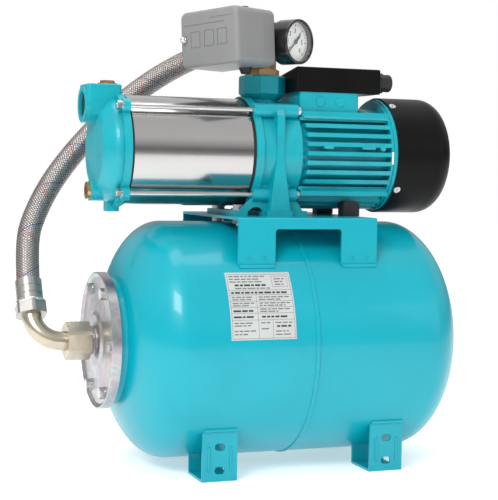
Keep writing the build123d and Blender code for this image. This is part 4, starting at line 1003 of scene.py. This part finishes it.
@dataclass
class PipeThreads(Assembly):
    """Pipe threads that stay visible on the flange neck and in the open ports."""

    def build(self) -> None:
        """Models the threads."""
        neck = Bench.thread(16.45 * MM, 0.7 * MM, 2.3 * MM, 6, True)
        neck.data.transform(Matrix.Translation(place(-241.0, 0, TANK_Z)))
        Bench.smooth(Bench.settle(neck, "neck_thread"))
        self.keep(neck, Look.BRIGHT_ZINC, "zinc_plate")
        # The port thread gets the near-black colour as painted shade, for the shade inside the port.
        port = Bench.thread(15.3 * MM, 0.85 * MM, 2.3 * MM, 8, False)
        port.data.transform(Matrix.Translation(place(-241.8, 0, 426.0)))
        Bench.smooth(Bench.settle(port, "suction_thread"))
        self.keep(port, Look.DARK_BORE, "teal_paint")
        outlet = Bench.thread(15.3 * MM, 0.8 * MM, 2.3 * MM, 5, False)
        outlet.data.transform(Matrix.Rotation(-math.pi / 2, 4, "Y"))
        outlet.data.transform(Matrix.Translation(place(-21.4, 0, 517.0)))
        Bench.smooth(Bench.settle(outlet, "outlet_thread"))
        self.keep(outlet, Look.BRASS, "brass")


@dataclass
class PortShade(Assembly):
    """Painted shade: a near-black sleeve that stands in for the shade inside the open suction port."""

    def build(self) -> None:
        """Models the painted-shade sleeve and the wall behind it."""
        Bench.clear()
        bpy.ops.mesh.primitive_cylinder_add(vertices=64, radius=12.9 * MM, depth=26 * MM,
                                            end_fill_type="NGON",
                                            location=place(-227.0, 0, 426.0), rotation=(0, math.pi / 2, 0))
        shade = bpy.context.object
        bpy.ops.object.mode_set(mode="EDIT")
        bpy.ops.mesh.select_all(action="SELECT")
        bpy.ops.mesh.bisect(plane_co=place(-238, 0, 426.0), plane_no=(1, 0, 0), clear_inner=True)
        bpy.ops.object.mode_set(mode="OBJECT")
        Bench.smooth(Bench.settle(shade, "port_shade"))
        self.keep(shade, Look.DARK_BORE, "teal_paint")


@dataclass
class HoseRings(Assembly):
    """Rolled rings between the hose nuts and their ferrules."""

    radius: float = 16.6
    bead: float = 1.9
    spots: Sequence[Tuple[Point, Point]] = (
        ((-296.0, 24.0, 193.57), (0.0, 0.5, 0.866)),
        ((-37.21, 27.82, 503.0), (-0.49394, 0.8695, 0.0)),
    )

    def build(self) -> None:
        """Models one ring at each end of the hose."""
        rings = []
        for spot, ahead in self.spots:
            Bench.clear()
            turn = Vector(ahead).to_track_quat("Z", "Y").to_euler()
            bpy.ops.mesh.primitive_torus_add(major_radius=self.radius * MM, minor_radius=self.bead * MM,
                                             major_segments=72, minor_segments=16, location=place(*spot),
                                             rotation=turn)
            rings.append(bpy.context.object)
        piece = Bench.join(rings, "hose_rings")
        Bench.smooth(piece, 60)
        self.keep(piece, Look.CHROME, "ferrule_nickel")


@dataclass
class MotorTrim(Assembly):
    """Raised pads on the fins, a frame screw, a plain sticker and the flange screw heads."""

    def round_head(self, spot: Vector, radius: float, depth: float, sides: int,
                   turn: Point) -> bpy.types.Object:
        """A screw head with rounded edges.

        Args:
            spot: its middle.
            radius: its radius in millimetres.
            depth: its height in millimetres.
            sides: 6 for a hexagon.
            turn: its rotation.

        Returns:
            The head.
        """
        Bench.clear()
        bpy.ops.mesh.primitive_cylinder_add(vertices=sides, radius=radius * MM, depth=depth * MM,
                                            location=spot,
                                            rotation=turn)
        head = bpy.context.object
        bpy.ops.object.mode_set(mode="EDIT")
        bpy.ops.mesh.select_all(action="SELECT")
        bpy.ops.mesh.bevel(offset=0.5 * MM, segments=3)
        bpy.ops.object.mode_set(mode="OBJECT")
        return head

    def build(self) -> None:
        """Models the trim."""
        front = -63.4
        pads = [Bench.bar((width * MM, 7 * MM, 5.0 * MM), place(x, front, PUMP_Z + 8.0), 1.6 * MM)
                for x, width in ((40.0, 13.0), (92.0, 18.0))]
        pads.append(self.round_head(place(110, front - 2.0, PUMP_Z + 7.5), 3.4, 5, 32, (math.pi / 2, 0, 0)))
        pieces = Bench.join(pads, "plate_pads")
        Bench.smooth(pieces)
        self.keep(pieces, Look.CAST_TEAL, "teal_paint")
        sticker = Bench.bar((2.6 * MM, 0.3 * MM, 15 * MM), place(123.2, -66.9, PUMP_Z - 4.0), 0.08 * MM)
        self.keep(Bench.settle(sticker, "frame_sticker"), Look.WHITE, "label_film")
        heads = []
        for across in (-49.5, 49.5):
            for up in (-49.5, 49.5):
                spot = place(6.5, across, PUMP_Z + up)
                heads.append(self.round_head(spot, 5.4, 4.6, 6, (0, math.pi / 2, 0)))
        screws = Bench.join(heads, "flange_screw_heads")
        Bench.smooth(screws)
        self.keep(screws, Look.BRIGHT_ZINC, "zinc_steel")


# ---------------------------------------------------------------- studio


@dataclass
class Studio:
    """Floor, lights and camera."""

    eye: Point = (-605.361, -1548.942, 355.538)
    turn: float = 20.231
    tilt: float = 3.423
    roll: float = 0.99
    focal: float = 1364.1
    frame_side: float = 500.0
    sensor: float = 36.0

    def camera(self) -> None:
        """Sets the camera."""
        data = bpy.data.cameras.new("camera")
        data.sensor_width = self.sensor
        data.lens = self.focal * self.sensor / self.frame_side
        data.clip_end = 20.0
        turn, tilt, roll = (math.radians(angle) for angle in (self.turn, self.tilt, self.roll))
        ahead = Vector((math.sin(turn) * math.cos(tilt), math.cos(turn) * math.cos(tilt), -math.sin(tilt)))
        right = Vector((math.cos(turn), -math.sin(turn), 0))
        up = right.cross(ahead)
        side = right * math.cos(roll) + up * math.sin(roll)
        top = up * math.cos(roll) - right * math.sin(roll)
        basis = Matrix((side, top, -ahead)).transposed().to_4x4()
        camera = bpy.data.objects.new("camera", data)
        camera.matrix_world = Matrix.Translation(place(*self.eye)) @ basis
        bpy.context.scene.collection.objects.link(camera)
        bpy.context.scene.camera = camera

    def lamp(self, name: str, spot: Point, size: Tuple[float, float], power: float, aim: Point) -> None:
        """Adds one soft area light.

        Args:
            name: the light's name.
            spot: where it stands.
            size: its width and height.
            power: watts.
            aim: the point that it faces.
        """
        data = bpy.data.lights.new(name, "AREA")
        data.shape = "RECTANGLE"
        data.size, data.size_y = size
        data.energy = power
        lamp = bpy.data.objects.new(name, data)
        lamp.location = spot
        lamp.rotation_euler = (Vector(aim) - Vector(spot)).to_track_quat("-Z", "Y").to_euler()
        bpy.context.scene.collection.objects.link(lamp)

    def lights(self) -> None:
        """Soft light from above and both sides, with a bright surround."""
        middle = (0.0, 0.0, 0.3)
        self.lamp("key", (-1.5, -1.6, 1.7), (1.0, 0.8), 36.0, middle)
        self.lamp("fill", (1.6, -1.6, 0.8), (1.2, 1.2), 3.5, middle)
        self.lamp("top", (0.0, 0.2, 2.2), (1.8, 1.2), 18.0, middle)
        world = bpy.data.worlds.new("surround")
        world.use_nodes = True
        wires = Wires(world.node_tree)
        coords = wires.add("ShaderNodeTexCoord")
        parts = wires.add("ShaderNodeSeparateXYZ")
        wires.join(coords.outputs["Generated"], parts.inputs[0])
        ramp = wires.add("ShaderNodeValToRGB")
        ramp.color_ramp.elements[0].position = SURROUND[0][0]
        ramp.color_ramp.elements[0].color = (SURROUND[0][1],) * 3 + (1,)
        ramp.color_ramp.elements[1].position = SURROUND[-1][0]
        ramp.color_ramp.elements[1].color = (SURROUND[-1][1],) * 3 + (1,)
        for at, level in SURROUND[1:-1]:
            stop = ramp.color_ramp.elements.new(at)
            stop.color = (level, level, level, 1)
        height = wires.value("MULTIPLY", wires.value("ADD", parts.outputs[2], 1.0), 0.5)
        wires.join(height, ramp.inputs[0])
        background = world.node_tree.nodes["Background"]
        seen = wires.add("ShaderNodeLightPath").outputs["Is Camera Ray"]
        wires.join(wires.mix(seen, ramp.outputs[0], (1.0, 1.0, 1.0)), background.inputs["Color"])
        background.inputs["Strength"].default_value = 1.0
        shade = wires.mix(seen, (0.80, 0.80, 0.80), (1.0, 1.0, 1.0))
        wires.join(shade, background.inputs["Strength"])
        bpy.context.scene.world = world

    def floor(self) -> None:
        """A pale floor with rounded corners, reaching far behind the set."""
        Bench.clear()
        bpy.ops.mesh.primitive_plane_add(size=9.0, location=(0, 2.0, 0))
        floor = bpy.context.object
        bpy.ops.object.mode_set(mode="EDIT")
        bpy.ops.mesh.select_all(action="SELECT")
        bpy.ops.mesh.bevel(offset=0.2, affect="VERTICES", segments=3)
        bpy.ops.object.mode_set(mode="OBJECT")
        Bench.settle(floor, "studio_floor")
        material = bpy.data.materials.new("pale_floor")
        material.use_nodes = True
        shader = material.node_tree.nodes["Principled BSDF"]
        shader.inputs["Base Color"].default_value = (0.94, 0.94, 0.94, 1)
        shader.inputs["Roughness"].default_value = 0.7
        shader.inputs["Specular IOR Level"].default_value = 0.1
        shader.inputs["Emission Color"].default_value = (1, 1, 1, 1)
        shader.inputs["Emission Strength"].default_value = FLOOR_GLOW
        floor.data.materials.append(material)

    def build(self) -> None:
        """Sets up the studio."""
        self.camera()
        self.lights()
        self.floor()
        bpy.context.scene.view_settings.view_transform = "Standard"
        LOG.info("studio ready")


def main() -> None:
    """Dresses the frame, adds the fine pieces and sets up the studio."""
    logging.basicConfig(level=logging.INFO)
    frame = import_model()
    paint = Paintbox()
    nodes = frame["nodes"]
    Studio().build()
    Frame(paint, nodes, record=frame["record"]).dress()
    BraidedHose(paint, nodes).build()
    GaugeFace(paint, nodes).build()
    TankLabel(paint, nodes).build()
    PipeThreads(paint, nodes).build()
    PortShade(paint, nodes).build()
    HoseRings(paint, nodes).build()
    MotorTrim(paint, nodes).build()


if __name__ == "__main__":
    main()
